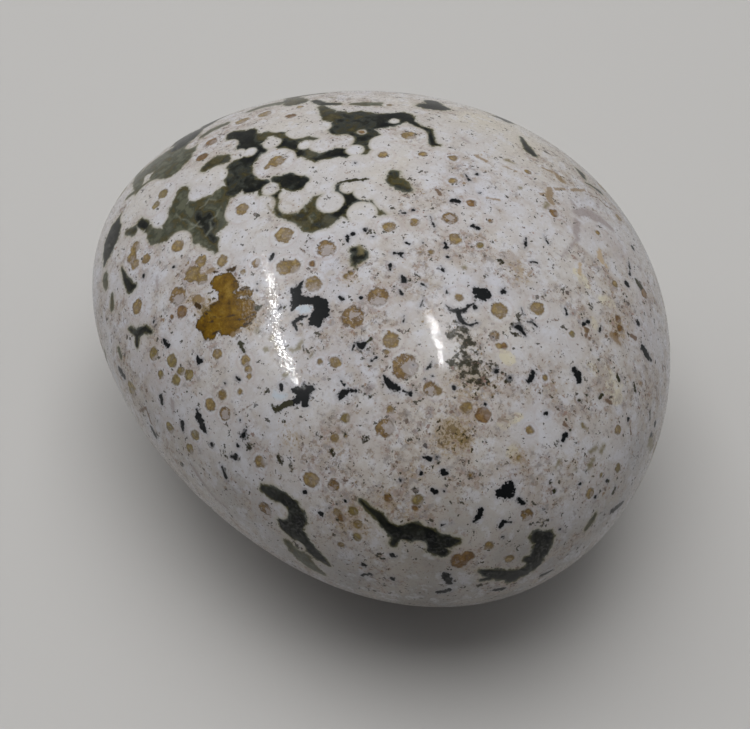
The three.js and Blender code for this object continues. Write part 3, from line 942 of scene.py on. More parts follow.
def piece_gap(places, first, last):
    """Distance in mm from each place to the edge of a tapered piece, below zero inside."""
    run = last[:3] - first[:3]
    share = ((places - first[:3]) @ run / max(run @ run, TINY)).clip(0, 1)
    closest = first[:3] + share[:, None] * run
    radius = first[3] + share * (last[3] - first[3])
    return np.linalg.norm(places - closest, axis=1) - radius


def pieces_of(stroke):
    """The straight pieces of a stroke, as pairs of end discs."""
    if len(stroke) == 1:
        return [(stroke[0], stroke[0])]
    return list(zip(stroke[:-1], stroke[1:]))


def stroke_gap(places, stroke):
    """Distance in mm from each place to the edge of a whole stroke."""
    return np.min([piece_gap(places, first, last) for first, last in pieces_of(stroke)], axis=0)


orbs = np.vstack([hearts[:, [0, 1, 2, 4]], white_orbs])
for size, tries in FILL_SIZES:
    faces = chance_faces(tries, np.ones(face_count))
    sizes = size * CHANCE.uniform(*FILL_SPREAD, tries)
    spots = face_middles[faces]
    room = np.full(tries, np.inf)
    for number, (stroke, _) in enumerate(rock_strokes):
        bite = HIDDEN_BITE * sizes if number >= seen_rock else 0.0
        room = np.minimum(room, stroke_gap(spots, stroke) + bite)
    free = room > sizes
    spots, sizes = spots[free], sizes[free]
    kept = well_apart(spots, sizes, orbs[:, :3], orbs[:, 3], FILL_CLOSENESS)
    orbs = np.vstack([orbs, np.column_stack([spots[kept], sizes[kept]])])
print("orbs in all:", len(orbs))

# %% [markdown]
# ## Finding the nearest marks
#
# A shader can't search a list. So the search is done here, once: for each face, which few
# orbs, hearts and pieces of stroke have their edge nearest to its middle. Three are enough
# where marks crowd together, and two where they don't.

# %% Nearest marks
ORBS_PER_FACE = 3
HEARTS_PER_FACE = 2
ROCK_PER_FACE = 3
FLECKS_PER_FACE = 2
FAR = 9.0
CHUNK = 2048


def nearest_marks(marks, count):
    """For each face, the numbers of the marks whose edges are nearest."""
    chosen = np.empty((face_count, count), int)
    middles, radii = marks[:, :3], marks[:, 3]
    for start in range(0, face_count, CHUNK):
        part = face_middles[start : start + CHUNK]
        squares = (part**2).sum(1)[:, None] + (middles**2).sum(1) - 2 * part @ middles.T
        gaps = np.sqrt(squares.clip(0)) - radii
        near = np.argpartition(gaps, count, axis=1)[:, :count]
        order = np.argsort(np.take_along_axis(gaps, near, 1), axis=1)
        chosen[start : start + CHUNK] = np.take_along_axis(near, order, 1)
    return chosen


def nearest_pieces(pieces, count):
    """For each face, the numbers of the pieces of stroke whose edges are nearest."""
    gaps = np.full((count, face_count), FAR)
    chosen = np.zeros((count, face_count), int)
    for number, (first, last, _) in enumerate(pieces):
        gap = piece_gap(face_middles, first, last)
        newcomer = np.full(face_count, number)
        for rank in range(count):
            nearer = gap < gaps[rank]
            gaps[rank], gap = np.where(nearer, gap, gaps[rank]), np.where(nearer, gaps[rank], gap)
            held = chosen[rank].copy()
            chosen[rank] = np.where(nearer, newcomer, held)
            newcomer = np.where(nearer, held, newcomer)
    return chosen


near_orbs = nearest_marks(orbs, ORBS_PER_FACE)
near_hearts = nearest_marks(hearts, HEARTS_PER_FACE)
print("orbs nearest to some face:", len(np.unique(near_orbs[:, 0])), "of", len(orbs))

# %% [markdown]
# ## Handing the marks to the shader
#
# Each face of the fine skin carries its nearest marks as attributes: the middle and radius
# of an orb, or both end discs of a piece of stroke. The shader then measures the true
# distance, and an edge stays sharp however coarse the faces are. Painting on the faces
# themselves would need millions of them for edges as sharp.

# %% Marks on the faces
# Tone, how hollow, radius of the pale disc, and the tone again as the unused fourth number
HEART_LOOK_COLUMNS = [5, 6, 4, 5]


def keep_on_faces(name, rows):
    """Stores four numbers on every face."""
    attribute = stone_mesh.attributes.new(name, "FLOAT_COLOR", "FACE")
    attribute.data.foreach_set("color", rows.astype(np.float32).ravel())


def keep_strokes(name, strokes, count):
    """Stores the nearest pieces of stroke on every face, and returns their tones."""
    pieces = [(*ends, tone) for stroke, tone in strokes for ends in pieces_of(stroke)]
    firsts, lasts, tones = (np.array(part) for part in zip(*pieces))
    ranks = nearest_pieces(pieces, count)
    for rank, chosen in enumerate(ranks):
        keep_on_faces(f"{name}_{rank}_first", firsts[chosen])
        keep_on_faces(f"{name}_{rank}_last", lasts[chosen])
    print("pieces of", name, len(pieces))
    return tones[ranks]


for rank in range(ORBS_PER_FACE):
    keep_on_faces(f"orb_{rank}", orbs[near_orbs[:, rank], :4])
for rank in range(HEARTS_PER_FACE):
    chosen = hearts[near_hearts[:, rank]]
    keep_on_faces(f"heart_{rank}", chosen[:, :4])
    keep_on_faces(f"heart_look_{rank}", chosen[:, HEART_LOOK_COLUMNS])
keep_strokes("rock", rock_strokes, ROCK_PER_FACE)
for rank, tones in enumerate(keep_strokes("fleck", fleck_strokes, FLECKS_PER_FACE)):
    keep_on_faces(f"fleck_{rank}_tone", np.tile(tones[:, None], 4))

# %% [markdown]
# ## Marks with soft edges
#
# Ochre, cream, stains and the tone of the dark rock change slowly, so plain numbers on the
# vertices do for them. For the tone, each vertex starts from a middling one, and every
# stroke that covers it, or nearly does, pulls it towards its own. For ochre and cream the
# vertex keeps the distance to the edge, and for a stain its amount.

# %% Marks on the vertices
TONE_BLEND = 0.8
MIDDLING_TONE = 0.3


def keep_on_corners(name, numbers):
    """Stores one number on every vertex."""
    attribute = stone_mesh.attributes.new(name, "FLOAT", "POINT")
    attribute.data.foreach_set("value", numbers.astype(np.float32))


rock_tone = np.full(len(corner_places), MIDDLING_TONE)
for stroke, tone in rock_strokes:
    gap = stroke_gap(corner_places, stroke)
    rock_tone += (tone - rock_tone) * (0.5 - gap / TONE_BLEND).clip(0, 1)
keep_on_corners("rock_tone", rock_tone)
for name, strokes in (("ochre_gap", ochre_strokes), ("cream_gap", cream_strokes)):
    gaps = [stroke_gap(corner_places, stroke) for stroke in strokes]
    keep_on_corners(name, np.min(gaps, axis=0))
for name, rows in stains.items():
    amount = np.zeros(len(corner_places))
    for *middle, radius, strength in rows:
        apart = np.linalg.norm(corner_places - middle, axis=1)
        amount = np.maximum(amount, strength * np.exp(-((apart / radius) ** 2)))
    keep_on_corners(name, amount)
print("attributes:", len(stone_mesh.attributes))

# %% [markdown]
# ## Short words for arithmetic
#
# The look of the stone is one tree of nodes, which could be wired by hand in the editor. In
# code that is long-winded, so a few helpers shorten it. Each adds one node and returns its
# result. A value can be a number, a colour or another node's result. The first result is
# the place on the stone in millimetres, which nearly every layer uses.

# %% Helpers for arithmetic
jasper = bpy.data.materials.new("polished_ocean_jasper")
jasper.use_nodes = True
tree = jasper.node_tree
tree.nodes.clear()
object_place = tree.nodes.new("ShaderNodeTexCoord").outputs["Object"]


def feed(socket, value):
    """Sets a socket to a number or colour, or links it to another node's result."""
    if isinstance(value, bpy.types.NodeSocket):
        tree.links.new(value, socket)
    elif isinstance(value, tuple) and len(value) == 3 and socket.type == "RGBA":
        socket.default_value = (*value, 1.0)
    else:
        socket.default_value = value


def calc(operation, *values, clamp=False):
    """One step of arithmetic."""
    node = tree.nodes.new("ShaderNodeMath")
    node.operation = operation
    node.use_clamp = clamp
    for socket, value in zip(node.inputs, values):
        feed(socket, value)
    return node.outputs[0]


def vector_calc(operation, *values, scale=None):
    """One step of arithmetic on places or directions."""
    node = tree.nodes.new("ShaderNodeVectorMath")
    node.operation = operation
    for socket, value in zip(node.inputs, values):
        feed(socket, value)
    if scale is not None:
        feed(node.inputs["Scale"], scale)
    single = operation in ("DISTANCE", "DOT_PRODUCT", "LENGTH")
    return node.outputs["Value" if single else "Vector"]


def times(first, second):
    """The product of two numbers."""
    return calc("MULTIPLY", first, second)


def plus(*values):
    """The sum of several numbers."""
    total = values[0]
    for value in values[1:]:
        total = calc("ADD", total, value)
    return total


def fade(value, start, end):
    """0 where the value is at start, 1 where it is at end, and a soft curve between."""
    node = tree.nodes.new("ShaderNodeMapRange")
    node.interpolation_type = "SMOOTHSTEP"
    feed(node.inputs["Value"], value)
    feed(node.inputs["From Min"], start)
    feed(node.inputs["From Max"], end)
    return node.outputs["Result"]


place = vector_calc("SCALE", object_place, scale=1 / MM)
print("nodes for the place in mm:", len(tree.nodes))

# %% [markdown]
# ## Short words for colours and noise
#
# The next helpers lay one colour over another, read a mark from the mesh and make noise.
# Noise stands for everything too small and too many to list: crystals, dirt and the wobble
# of every edge. It is measured in millimetres, so its grain has a true size. Three noises
# round zero return in almost every layer: ragged is the coarsest, then lobes, then grain.


# %% Helpers for colours and noise
def mix(share, first, second, kind="RGBA", blend="MIX"):
    """First where share is 0, second where it is 1."""
    node = tree.nodes.new("ShaderNodeMix")
    node.data_type = kind
    node.blend_type = blend
    first_socket = {"FLOAT": 2, "VECTOR": 4, "RGBA": 6}[kind]
    feed(node.inputs[0], share)
    feed(node.inputs[first_socket], first)
    feed(node.inputs[first_socket + 1], second)
    return node.outputs[{"FLOAT": 0, "VECTOR": 1, "RGBA": 2}[kind]]


def tinted(share, colour, tint):
    """The colour multiplied by a tint, as far as share says."""
    return mix(share, colour, tint, blend="MULTIPLY")


def ramp(value, *stops):
    """A colour for each value, from stops of position and colour."""
    node = tree.nodes.new("ShaderNodeValToRGB")
    feed(node.inputs["Fac"], value)
    elements = node.color_ramp.elements
    while len(elements) < len(stops):
        elements.new(0.5)
    for element, (position, colour) in zip(elements, stops):
        element.position = position
        element.color = (*colour, 1.0)
    return node.outputs["Color"]


def stored(name):
    """An attribute of the mesh."""
    node = tree.nodes.new("ShaderNodeAttribute")
    node.attribute_name = name
    return node.outputs


def clouds(size, detail=2.0, roughness=0.5, shift=None):
    """Noise from 0 to 1 whose lumps are about size across, in mm. A shift gives another."""
    node = tree.nodes.new("ShaderNodeTexNoise")
    feed(node.inputs["Vector"], vector_calc("ADD", place, shift) if shift else place)
    node.inputs["Scale"].default_value = 1 / size
    node.inputs["Detail"].default_value = detail
    node.inputs["Roughness"].default_value = roughness
    return node.outputs["Fac"]


def chance_of(mark):
    """Numbers drawn by chance for a mark, from where its middle lies."""
    node = tree.nodes.new("ShaderNodeTexWhiteNoise")
    feed(node.inputs["Vector"], mark["Vector"])
    return node.outputs


ragged = calc("SUBTRACT", clouds(0.9, 2.0, 0.6), 0.5)
lobes = calc("SUBTRACT", clouds(0.5, 2.0, 0.6, shift=(9.0, 4.0, 2.0)), 0.5)
grain = calc("SUBTRACT", clouds(0.28, 2.0, 0.6), 0.5)
print("nodes with the three noises:", len(tree.nodes))

# %% [markdown]
# ## Pale orbs
#
# The shader measures the gap to the edge of each of the three nearest orbs, below zero
# inside the orb. The smallest gap says how deep a place lies in an orb, or how far outside
# all of them, and two of the noises wobble it. Where the two smallest gaps are nearly the
# same, two orbs touch, and a faint seam shows.

# %% Edges of the orbs
orb_gaps = []
orb_chances = []
for rank in range(ORBS_PER_FACE):
    orb = stored(f"orb_{rank}")
    reach = vector_calc("DISTANCE", place, orb["Vector"])
    orb_gaps.append(calc("SUBTRACT", reach, orb["Alpha"]))
    orb_chances.append(chance_of(orb)["Value"])
first_two = calc("MINIMUM", orb_gaps[0], orb_gaps[1])
orb_gap = plus(calc("MINIMUM", first_two, orb_gaps[2]), times(ragged, 0.22), times(lobes, 0.1))
zero_is_near = calc("LESS_THAN", orb_gaps[0], orb_gaps[1])
two_is_near = calc("LESS_THAN", orb_gaps[2], first_two)
orb_chance = mix(zero_is_near, orb_chances[1], orb_chances[0], "FLOAT")
orb_chance = mix(two_is_near, orb_chance, orb_chances[2], "FLOAT")
runner_up = calc("MINIMUM", calc("MAXIMUM", orb_gaps[0], orb_gaps[1]), orb_gaps[2])
runner_up = calc("MAXIMUM", first_two, runner_up)
contact = calc("SUBTRACT", runner_up, calc("MINIMUM", first_two, orb_gaps[2]))
print("nodes for the edges of orbs:", len(tree.nodes))

# %% [markdown]
# ## Body colour
#
# Orbs differ a little in tone, from cream to lilac white, and each has a faint pinkish
# rim. A slow noise tints whole areas, a finer one gives the mottle of tiny crystals, and
# the stains add cream and mauve. A grey tint, partly painted shade, darkens the bottom.

# %% Body colour of the stone
BODY_COLOURS = {
    "lilac": (0.53, 0.53, 0.575),
    "milk": (0.555, 0.54, 0.54),
    "oat": (0.55, 0.53, 0.52),
    "warm": (0.545, 0.515, 0.475),
    "crystal": (0.61, 0.605, 0.635),
    "mottle": (0.47, 0.435, 0.43),
    "grain": (0.46, 0.42, 0.41),
    "pink_rim": (0.46, 0.38, 0.38),
    "clear": (0.46, 0.435, 0.44),
    "seam": (0.42, 0.38, 0.38),
    "cream": (0.54, 0.495, 0.42),
    "yellow_cream": (0.62, 0.57, 0.42),
    "mauve": (0.33, 0.275, 0.285),
    "shade_and_grey_tint": (0.48, 0.465, 0.43),
}
mottle = clouds(2.6, 3.0, 0.6)
drift = clouds(9.0, 2.0, shift=(31.0, 7.0, 3.0))
orb_white = ramp(
    orb_chance,
    (0.0, BODY_COLOURS["milk"]),
    (0.5, BODY_COLOURS["lilac"]),
    (1.0, BODY_COLOURS["oat"]),
)
drift_white = ramp(
    drift,
    (0.35, BODY_COLOURS["lilac"]),
    (0.5, BODY_COLOURS["milk"]),
    (0.65, BODY_COLOURS["warm"]),
)
body = mix(0.6, orb_white, drift_white)
body = mix(times(fade(mottle, 0.45, 0.75), 0.4), body, BODY_COLOURS["mottle"])
body = mix(times(fade(grain, 0.0, 0.16), 0.2), body, BODY_COLOURS["grain"])
body = mix(times(fade(lobes, 0.0, 0.14), 0.4), body, BODY_COLOURS["crystal"])
orb_rim = times(fade(orb_gap, -0.3, -0.06), fade(orb_gap, 0.1, 0.0))
body = mix(times(orb_rim, 0.13), body, BODY_COLOURS["pink_rim"])
between = fade(orb_gap, -0.05, 0.12)
body = mix(times(between, 0.16), body, BODY_COLOURS["clear"])
seam = times(fade(contact, 0.1, 0.0), fade(ragged, -0.05, 0.15))
body = mix(times(seam, 0.12), body, BODY_COLOURS["seam"])
body = mix(stored("cream")["Fac"], body, BODY_COLOURS["cream"])
cream_edge = plus(stored("cream_gap")["Fac"], times(ragged, 0.9), times(grain, 0.4))
body = mix(times(fade(cream_edge, 0.1, -0.1), 0.85), body, BODY_COLOURS["yellow_cream"])
body = mix(times(stored("mauve")["Fac"], 0.8), body, BODY_COLOURS["mauve"])
# Painted shade, partly a greyer body: the grey tint darkens the body most at the near bottom
body = tinted(stored("shade_and_grey")["Fac"], body, BODY_COLOURS["shade_and_grey_tint"])
print("nodes with the body colour:", len(tree.nodes))

# %% [markdown]
# ## Dust
#
# Dirt gathers between the orbs, more in some areas than in others. The high spots of a
# noise make irregular smudges, and the lower the bar, the more of them show. They go over
# each other in layers: lilac and beige patches first, then broad pinkish smudges, grey
# ones, and at last brown ones whose colour changes from place to place.

# %% Dust
DUST_COLOURS = {
    "dusty_white": (0.475, 0.435, 0.40),
    "lilac_patch": (0.59, 0.59, 0.635),
    "beige_patch": (0.43, 0.385, 0.345),
    "crevice": (0.46, 0.41, 0.37),
    "pink_smudge": (0.38, 0.325, 0.295),
    "grey_smudge": (0.24, 0.22, 0.215),
}
dust_level = plus(fade(clouds(5.0, 3.0, 0.6), 0.4, 0.7), stored("dusty")["Fac"])
dust_level = calc("SUBTRACT", dust_level, stored("clean")["Fac"], clamp=True)
crevice = fade(plus(orb_gap, times(lobes, 0.9)), -0.45, 0.1)
dirt = plus(0.22, times(dust_level, 0.6), times(crevice, plus(0.08, times(dust_level, 0.3))))
dirt = calc("SUBTRACT", dirt, times(stored("clean")["Fac"], 0.5), clamp=True)
smudge_tone = clouds(1.1, 2.0, shift=(2.0, 2.0, 23.0))


def smudges(size, shift, bar, softness):
    """Irregular smudges, commoner where there is more dirt."""
    field = clouds(size, 5.0, 0.68, shift=shift)
    height = calc("SUBTRACT", field, calc("SUBTRACT", bar, times(dirt, 0.11)))
    return fade(height, 0.0, softness)


patches = plus(clouds(1.5, 4.0, 0.6, shift=(1.0, 40.0, 3.0)), times(crevice, 0.06))
colour = mix(times(dust_level, 0.3), body, DUST_COLOURS["dusty_white"])
colour = mix(times(fade(patches, 0.5, 0.38), 0.5), colour, DUST_COLOURS["lilac_patch"])
beige = times(fade(patches, 0.47, 0.64), plus(0.12, dust_level))
colour = mix(beige, colour, DUST_COLOURS["beige_patch"])
crevice_dirt = times(crevice, plus(0.06, times(dust_level, 0.35)))
colour = mix(crevice_dirt, colour, DUST_COLOURS["crevice"])
pink_smudges = smudges(1.4, (7.0, 1.0, 5.0), 0.6, 0.12)
colour = mix(times(pink_smudges, 0.5), colour, DUST_COLOURS["pink_smudge"])
grey_smudges = smudges(0.7, (1.0, 9.0, 30.0), 0.6, 0.12)
colour = mix(times(grey_smudges, 0.6), colour, DUST_COLOURS["grey_smudge"])
smudge_colour = ramp(
    smudge_tone,
    (0.32, (0.17, 0.14, 0.12)),
    (0.45, (0.25, 0.18, 0.12)),
    (0.55, (0.32, 0.235, 0.20)),
    (0.68, (0.25, 0.24, 0.255)),
)
colour = mix(times(smudges(0.7, (3.0, 17.0, 5.0), 0.63, 0.06), 0.6), colour, smudge_colour)
print("nodes with the dust:", len(tree.nodes))

# %% [markdown]
# ## Rust and soot
#
# Rusty dust is ochre powder with browner crumbs where it lies thickest. The soot-like
# crumbs are specks of the dark minerals: olive and brown where they are thin, nearly black
# where they are dense. In both, the noises break a soft stain up into crumbs. The finest
# dark crumbs lie all over the stone, wherever there is dirt.

# %% Rust, soot and dark crumbs
RUST_COLOUR = (0.36, 0.28, 0.18)
DENSE_SOOT = (0.028, 0.025, 0.012)
rusty = plus(stored("rust_dust")["Fac"], 0.08, times(lobes, 1.3), times(grain, 0.9))
colour = mix(times(fade(rusty, 0.3, 0.8), 0.7), colour, RUST_COLOUR)
crumbled = plus(rusty, times(ragged, 1.2), times(grain, 0.9))
crumbled_colour = ramp(smudge_tone, (0.4, (0.10, 0.07, 0.035)), (0.6, (0.21, 0.145, 0.05)))
colour = mix(times(fade(crumbled, 0.75, 1.05), 0.8), colour, crumbled_colour)
soot = stored("soot")["Fac"]
soot_noise = plus(times(lobes, 2.2), times(ragged, 2.4), times(grain, 1.4))
sooty = plus(times(soot, 0.72), times(soot_noise, fade(soot, 0.03, 0.25)))
soot_colour = ramp(
    plus(times(ragged, -2.4), times(lobes, -1.8), times(grain, 2.0), 0.5),
    (0.3, (0.022, 0.02, 0.011)),
    (0.48, (0.065, 0.056, 0.036)),
    (0.62, (0.13, 0.108, 0.068)),
    (0.8, (0.3, 0.26, 0.21)),
)
soot_core = plus(times(soot, 0.55), times(ragged, 2.4), times(lobes, 2.0), times(grain, 1.5))
colour = mix(times(fade(sooty, 0.08, 0.58), 0.88), colour, soot_colour)
colour = mix(times(fade(soot_core, 0.48, 0.66), 0.85), colour, DENSE_SOOT)
crumb_colour = ramp(
    smudge_tone,
    (0.35, (0.05, 0.045, 0.045)),
    (0.5, (0.13, 0.085, 0.06)),
    (0.65, (0.20, 0.13, 0.11)),
)
colour = mix(times(smudges(0.45, (13.0, 3.0, 9.0), 0.675, 0.07), 0.7), colour, crumb_colour)
print("nodes with the crumbs:", len(tree.nodes))

# %% [markdown]
# ## Round specks
#
# Small cells add rounder specks: each cell draws a chance number, and those that win hold
# one. The rows below give the size of a cell and of its largest speck, in mm, and how many
# of the cells win.

# %% Round specks
SPECK_SIZES = ((0.9, 0.26, 0.4), (0.5, 0.14, 0.3))


def specks(cell_size, largest, crowding):
    """Specks of one size class: how much of one is here, and its chance number."""
    cells = tree.nodes.new("ShaderNodeTexVoronoi")
    feed(cells.inputs["Vector"], place)
    cells.inputs["Scale"].default_value = 1 / cell_size
    parts = tree.nodes.new("ShaderNodeSeparateColor")
    feed(parts.inputs[0], cells.outputs["Color"])
    wins = calc("SUBTRACT", times(dirt, crowding), parts.outputs["Red"])
    radius = times(fade(wins, 0.0, 0.3), largest / cell_size)
    reach = plus(cells.outputs["Distance"], times(grain, 1.0), times(lobes, 0.7))
    return fade(calc("SUBTRACT", reach, radius), 0.05, -0.08), parts.outputs["Green"]


for cell_size, largest, crowding in SPECK_SIZES:
    amount, chance = specks(cell_size, largest, crowding)
    speck_colour = ramp(
        chance,
        (0.0, (0.05, 0.045, 0.045)),
        (0.4, (0.15, 0.10, 0.075)),
        (0.7, (0.30, 0.20, 0.17)),
        (1.0, (0.23, 0.16, 0.07)),
    )
    colour = mix(times(amount, 0.85), colour, speck_colour)
print("nodes with the specks:", len(tree.nodes))

# %% [markdown]
# ## What a heart is made of
#
# Each heart is golden on one side and mauve brown on the other, and any pale core lies off
# centre on that far side. All hearts lean the same way, and each adds some chance of its
# own. A picture of one heart, stamped many times, would look the same each time: built
# from noise, every heart differs.

# %% Parts of a heart
LEAN_WAY = (0.9, 0.09, -0.43)
granules = clouds(0.55, 3.0, 0.6, shift=(5.0, 0.0, 11.0))


def lean_along(heart, chance, offset):
    """How far along its leaning way a place lies: 1 at one side of the heart, -1 opposite."""
    own_way = vector_calc("SUBTRACT", chance["Color"], (0.5, 0.5, 0.5))
    lean_direction = vector_calc("ADD", vector_calc("SCALE", own_way, scale=1.8), LEAN_WAY)
    return calc("DIVIDE", vector_calc("DOT_PRODUCT", offset, lean_direction), heart["Alpha"])


def pale_core(heart, chance, hollow):
    """How much of the heart's pale core is here. It lies off centre."""
    aside = vector_calc("SUBTRACT", chance["Color"], (0.25, 0.5, 0.65))
    middle = vector_calc("ADD", heart["Vector"], vector_calc("SCALE", aside, scale=0.8))
    reach = calc("DIVIDE", vector_calc("DISTANCE", place, middle), heart["Alpha"])
    edge = plus(reach, times(ragged, 1.0), times(lobes, 1.2), times(grain, 0.8))
    return times(fade(calc("SUBTRACT", edge, times(hollow, 0.08)), 0.6, 0.42), hollow)


def mineral_colour(lean_share, tone):
    """The grainy gold and brown inside a heart, tinted by its tone."""
    mineral = ramp(
        plus(times(granules, 0.95), times(lean_share, 0.07), 0.02),
        (0.34, (0.31, 0.225, 0.09)),
        (0.44, (0.25, 0.172, 0.058)),
        (0.52, (0.165, 0.112, 0.042)),
        (0.6, (0.22, 0.16, 0.09)),
        (0.7, (0.30, 0.255, 0.20)),
    )
    tone_tint = ramp(
        tone,
        (0.0, (0.88, 0.96, 0.9)),
        (0.45, (1.0, 1.0, 1.0)),
        (0.6, (0.78, 0.7, 0.68)),
        (1.0, (0.75, 0.6, 0.52)),
    )
    return tinted(1.0, mineral, tone_tint)


print("nodes with the granules:", len(tree.nodes))

# %% [markdown]
# ## Laying the hearts
#
# A heart uses the true distance to its middle, made lobed by a middling noise and crumbly
# by a fine one. Its parts go over each other: the mineral, the clear side, a browner rim,
# the pale core, and in the hollow ones a dark broken line. The second nearest heart is laid
# first, so the nearest one covers it.

# %% Hearts
HEART_BITE = 0.08
HEART_COLOURS = {
    "disc_rim": (0.44, 0.37, 0.36),
    "clear_side": (0.37, 0.335, 0.32),
    "rim_tint": (0.6, 0.52, 0.46),
    "core": (0.39, 0.355, 0.345),
    "ring_line": (0.12, 0.09, 0.06),
}
heart_layers = []
for rank in range(HEARTS_PER_FACE):
    heart = stored(f"heart_{rank}")
    chance = chance_of(heart)
    look = tree.nodes.new("ShaderNodeSeparateColor")
    feed(look.inputs[0], stored(f"heart_look_{rank}")["Color"])
    tone, hollow, disc = (look.outputs[name] for name in ("Red", "Green", "Blue"))
    offset = vector_calc("SUBTRACT", place, heart["Vector"])
    reach = vector_calc("LENGTH", offset)
    disc_gap = plus(calc("SUBTRACT", reach, disc), times(ragged, 0.3))
    disc_rim = times(fade(disc_gap, -0.3, -0.05), fade(disc_gap, 0.1, 0.0))
    colour = mix(times(disc_rim, 0.28), colour, HEART_COLOURS["disc_rim"])

    raggedness = plus(times(ragged, 0.7), times(lobes, 0.5), times(grain, 0.15))
    raggedness = times(raggedness, plus(0.35, times(heart["Alpha"], 0.65)))
    gap = plus(calc("SUBTRACT", reach, heart["Alpha"]), raggedness, HEART_BITE)
    lean_share = lean_along(heart, chance, offset)
    hollow = calc("MAXIMUM", hollow, times(chance["Value"], 0.6))
    heart_colour = mineral_colour(lean_share, tone)
    clear_side = plus(times(lean_share, 0.8), times(ragged, 1.6), times(lobes, 1.6))
    clearness = times(fade(clear_side, 0.35, 0.9), fade(chance["Value"], 0.25, 0.6))
    heart_colour = mix(times(clearness, 0.6), heart_colour, HEART_COLOURS["clear_side"])
    rim = times(fade(gap, -0.25, -0.02), plus(0.25, times(fade(lean_share, 0.5, -0.7), 0.6)))
    heart_colour = tinted(rim, heart_colour, HEART_COLOURS["rim_tint"])
    core = pale_core(heart, chance, hollow)
    heart_colour = mix(times(core, 0.8), heart_colour, HEART_COLOURS["core"])
    ring_line = times(fade(gap, -0.2, -0.08), fade(ragged, -0.12, 0.1))
    ring_line = times(ring_line, times(hollow, 0.6))
    heart_colour = mix(ring_line, heart_colour, HEART_COLOURS["ring_line"])
    broken = times(fade(lobes, 0.05, 0.14), times(hollow, 0.35))
    shown = times(fade(gap, 0.15, -0.13), calc("SUBTRACT", 1.0, broken))
    heart_layers.append((shown, heart_colour))
for shown, heart_colour in reversed(heart_layers):
    colour = mix(times(shown, 0.95), colour, heart_colour)
print("nodes with the hearts:", len(tree.nodes))

# %% [markdown]
# ## Painting the ochre
#
# The ochre patch is a strong brown gold with darker veins and a thin dark edge. Its own
# number on the vertices gives the distance to its edge, and noise makes the edge ragged.

# %% Ochre
OCHRE_EDGE_COLOUR = (0.05, 0.033, 0.008)
edge_noise = plus(ragged, times(lobes, 0.8), times(grain, 0.3))
ochre_edge = plus(stored("ochre_gap")["Fac"], times(edge_noise, 0.8))
ochre_colour = ramp(
    clouds(0.9, 4.0, 0.7),
    (0.3, (0.05, 0.026, 0.002)),
    (0.4, (0.11, 0.056, 0.002)),
    (0.54, (0.17, 0.09, 0.002)),
    (0.7, (0.26, 0.16, 0.02)),
)
ochre_colour = mix(times(fade(ochre_edge, -0.3, 0.0), 0.75), ochre_colour, OCHRE_EDGE_COLOUR)
colour = mix(fade(ochre_edge, 0.1, -0.08), colour, ochre_colour)
print("nodes with the ochre:", len(tree.nodes))

# %% [markdown]
# ## Painting the dark rock
#
# The dark rock shows only where no orb lies. It is partly clear, so near an orb's edge the
# white shines through and gives a grey-blue line; deeper in it turns olive, green or
# black. The nearest piece of stroke decides where its edge is, and noise in step with the
# stroke's width makes it ragged. A haze and small golden glints keep it from looking flat.

# %% Dark rock
ROCK_COLOURS = {
    "glow": (0.36, 0.345, 0.24),
    "haze": (0.09, 0.093, 0.075),
    "glint": (0.17, 0.145, 0.075),
    "grey_blue_fringe": (0.075, 0.085, 0.08),
    "olive_fringe": (0.11, 0.098, 0.04),
    "pale_fringe": (0.16, 0.158, 0.11),
}


def gap_to_piece(name, raggedness_noise):
    """Distance in mm to the ragged edge of one piece of stroke."""
    first, last = stored(f"{name}_first"), stored(f"{name}_last")
    offset = vector_calc("SUBTRACT", place, first["Vector"])
    run = vector_calc("SUBTRACT", last["Vector"], first["Vector"])
    square = calc("MAXIMUM", vector_calc("DOT_PRODUCT", run, run), TINY)
    share = calc("DIVIDE", vector_calc("DOT_PRODUCT", offset, run), square, clamp=True)
    across = vector_calc("SUBTRACT", offset, vector_calc("SCALE", run, scale=share))
    radius = mix(share, first["Alpha"], last["Alpha"], "FLOAT")
    raggedness = calc("MINIMUM", plus(0.25, times(radius, 0.6)), 0.85)
    gap = calc("SUBTRACT", vector_calc("LENGTH", across), radius)
    return plus(gap, times(raggedness_noise, raggedness))


rock_gaps = [gap_to_piece(f"rock_{rank}", edge_noise) for rank in range(ROCK_PER_FACE)]
rock_edge = calc("MINIMUM", calc("MINIMUM", rock_gaps[0], rock_gaps[1]), rock_gaps[2])
rock_glow = times(fade(rock_edge, 0.5, 0.0), fade(orb_gap, -0.35, 0.0))
colour = mix(times(rock_glow, 0.4), colour, ROCK_COLOURS["glow"])
rock_cover = times(fade(rock_edge, 0.16, -0.12), fade(orb_gap, -0.1, 0.16))
depth = plus(calc("MINIMUM", orb_gap, times(rock_edge, -1.0)), times(edge_noise, 0.7))
list_tone = stored("rock_tone")["Fac"]
rock_shift = times(calc("SUBTRACT", clouds(1.3, 4.0, 0.55), 0.5), 1.5)
rock_colour = ramp(
    plus(list_tone, rock_shift),
    (0.0, (0.006, 0.007, 0.007)),
    (0.27, (0.013, 0.014, 0.01)),
    (0.4, (0.034, 0.038, 0.033)),
    (0.55, (0.042, 0.036, 0.015)),
    (0.7, (0.078, 0.066, 0.027)),
    (0.85, (0.052, 0.056, 0.038)),
    (1.0, (0.105, 0.108, 0.072)),
)
not_black = fade(list_tone, 0.2, 0.55)
hazy = times(fade(clouds(2.4, 3.0, 0.6), 0.48, 0.68), plus(0.12, times(not_black, 0.4)))
rock_colour = mix(hazy, rock_colour, ROCK_COLOURS["haze"])
glints = times(fade(clouds(0.4, 4.0, 0.7), 0.58, 0.7), plus(0.1, times(not_black, 0.3)))
rock_colour = mix(glints, rock_colour, ROCK_COLOURS["glint"])
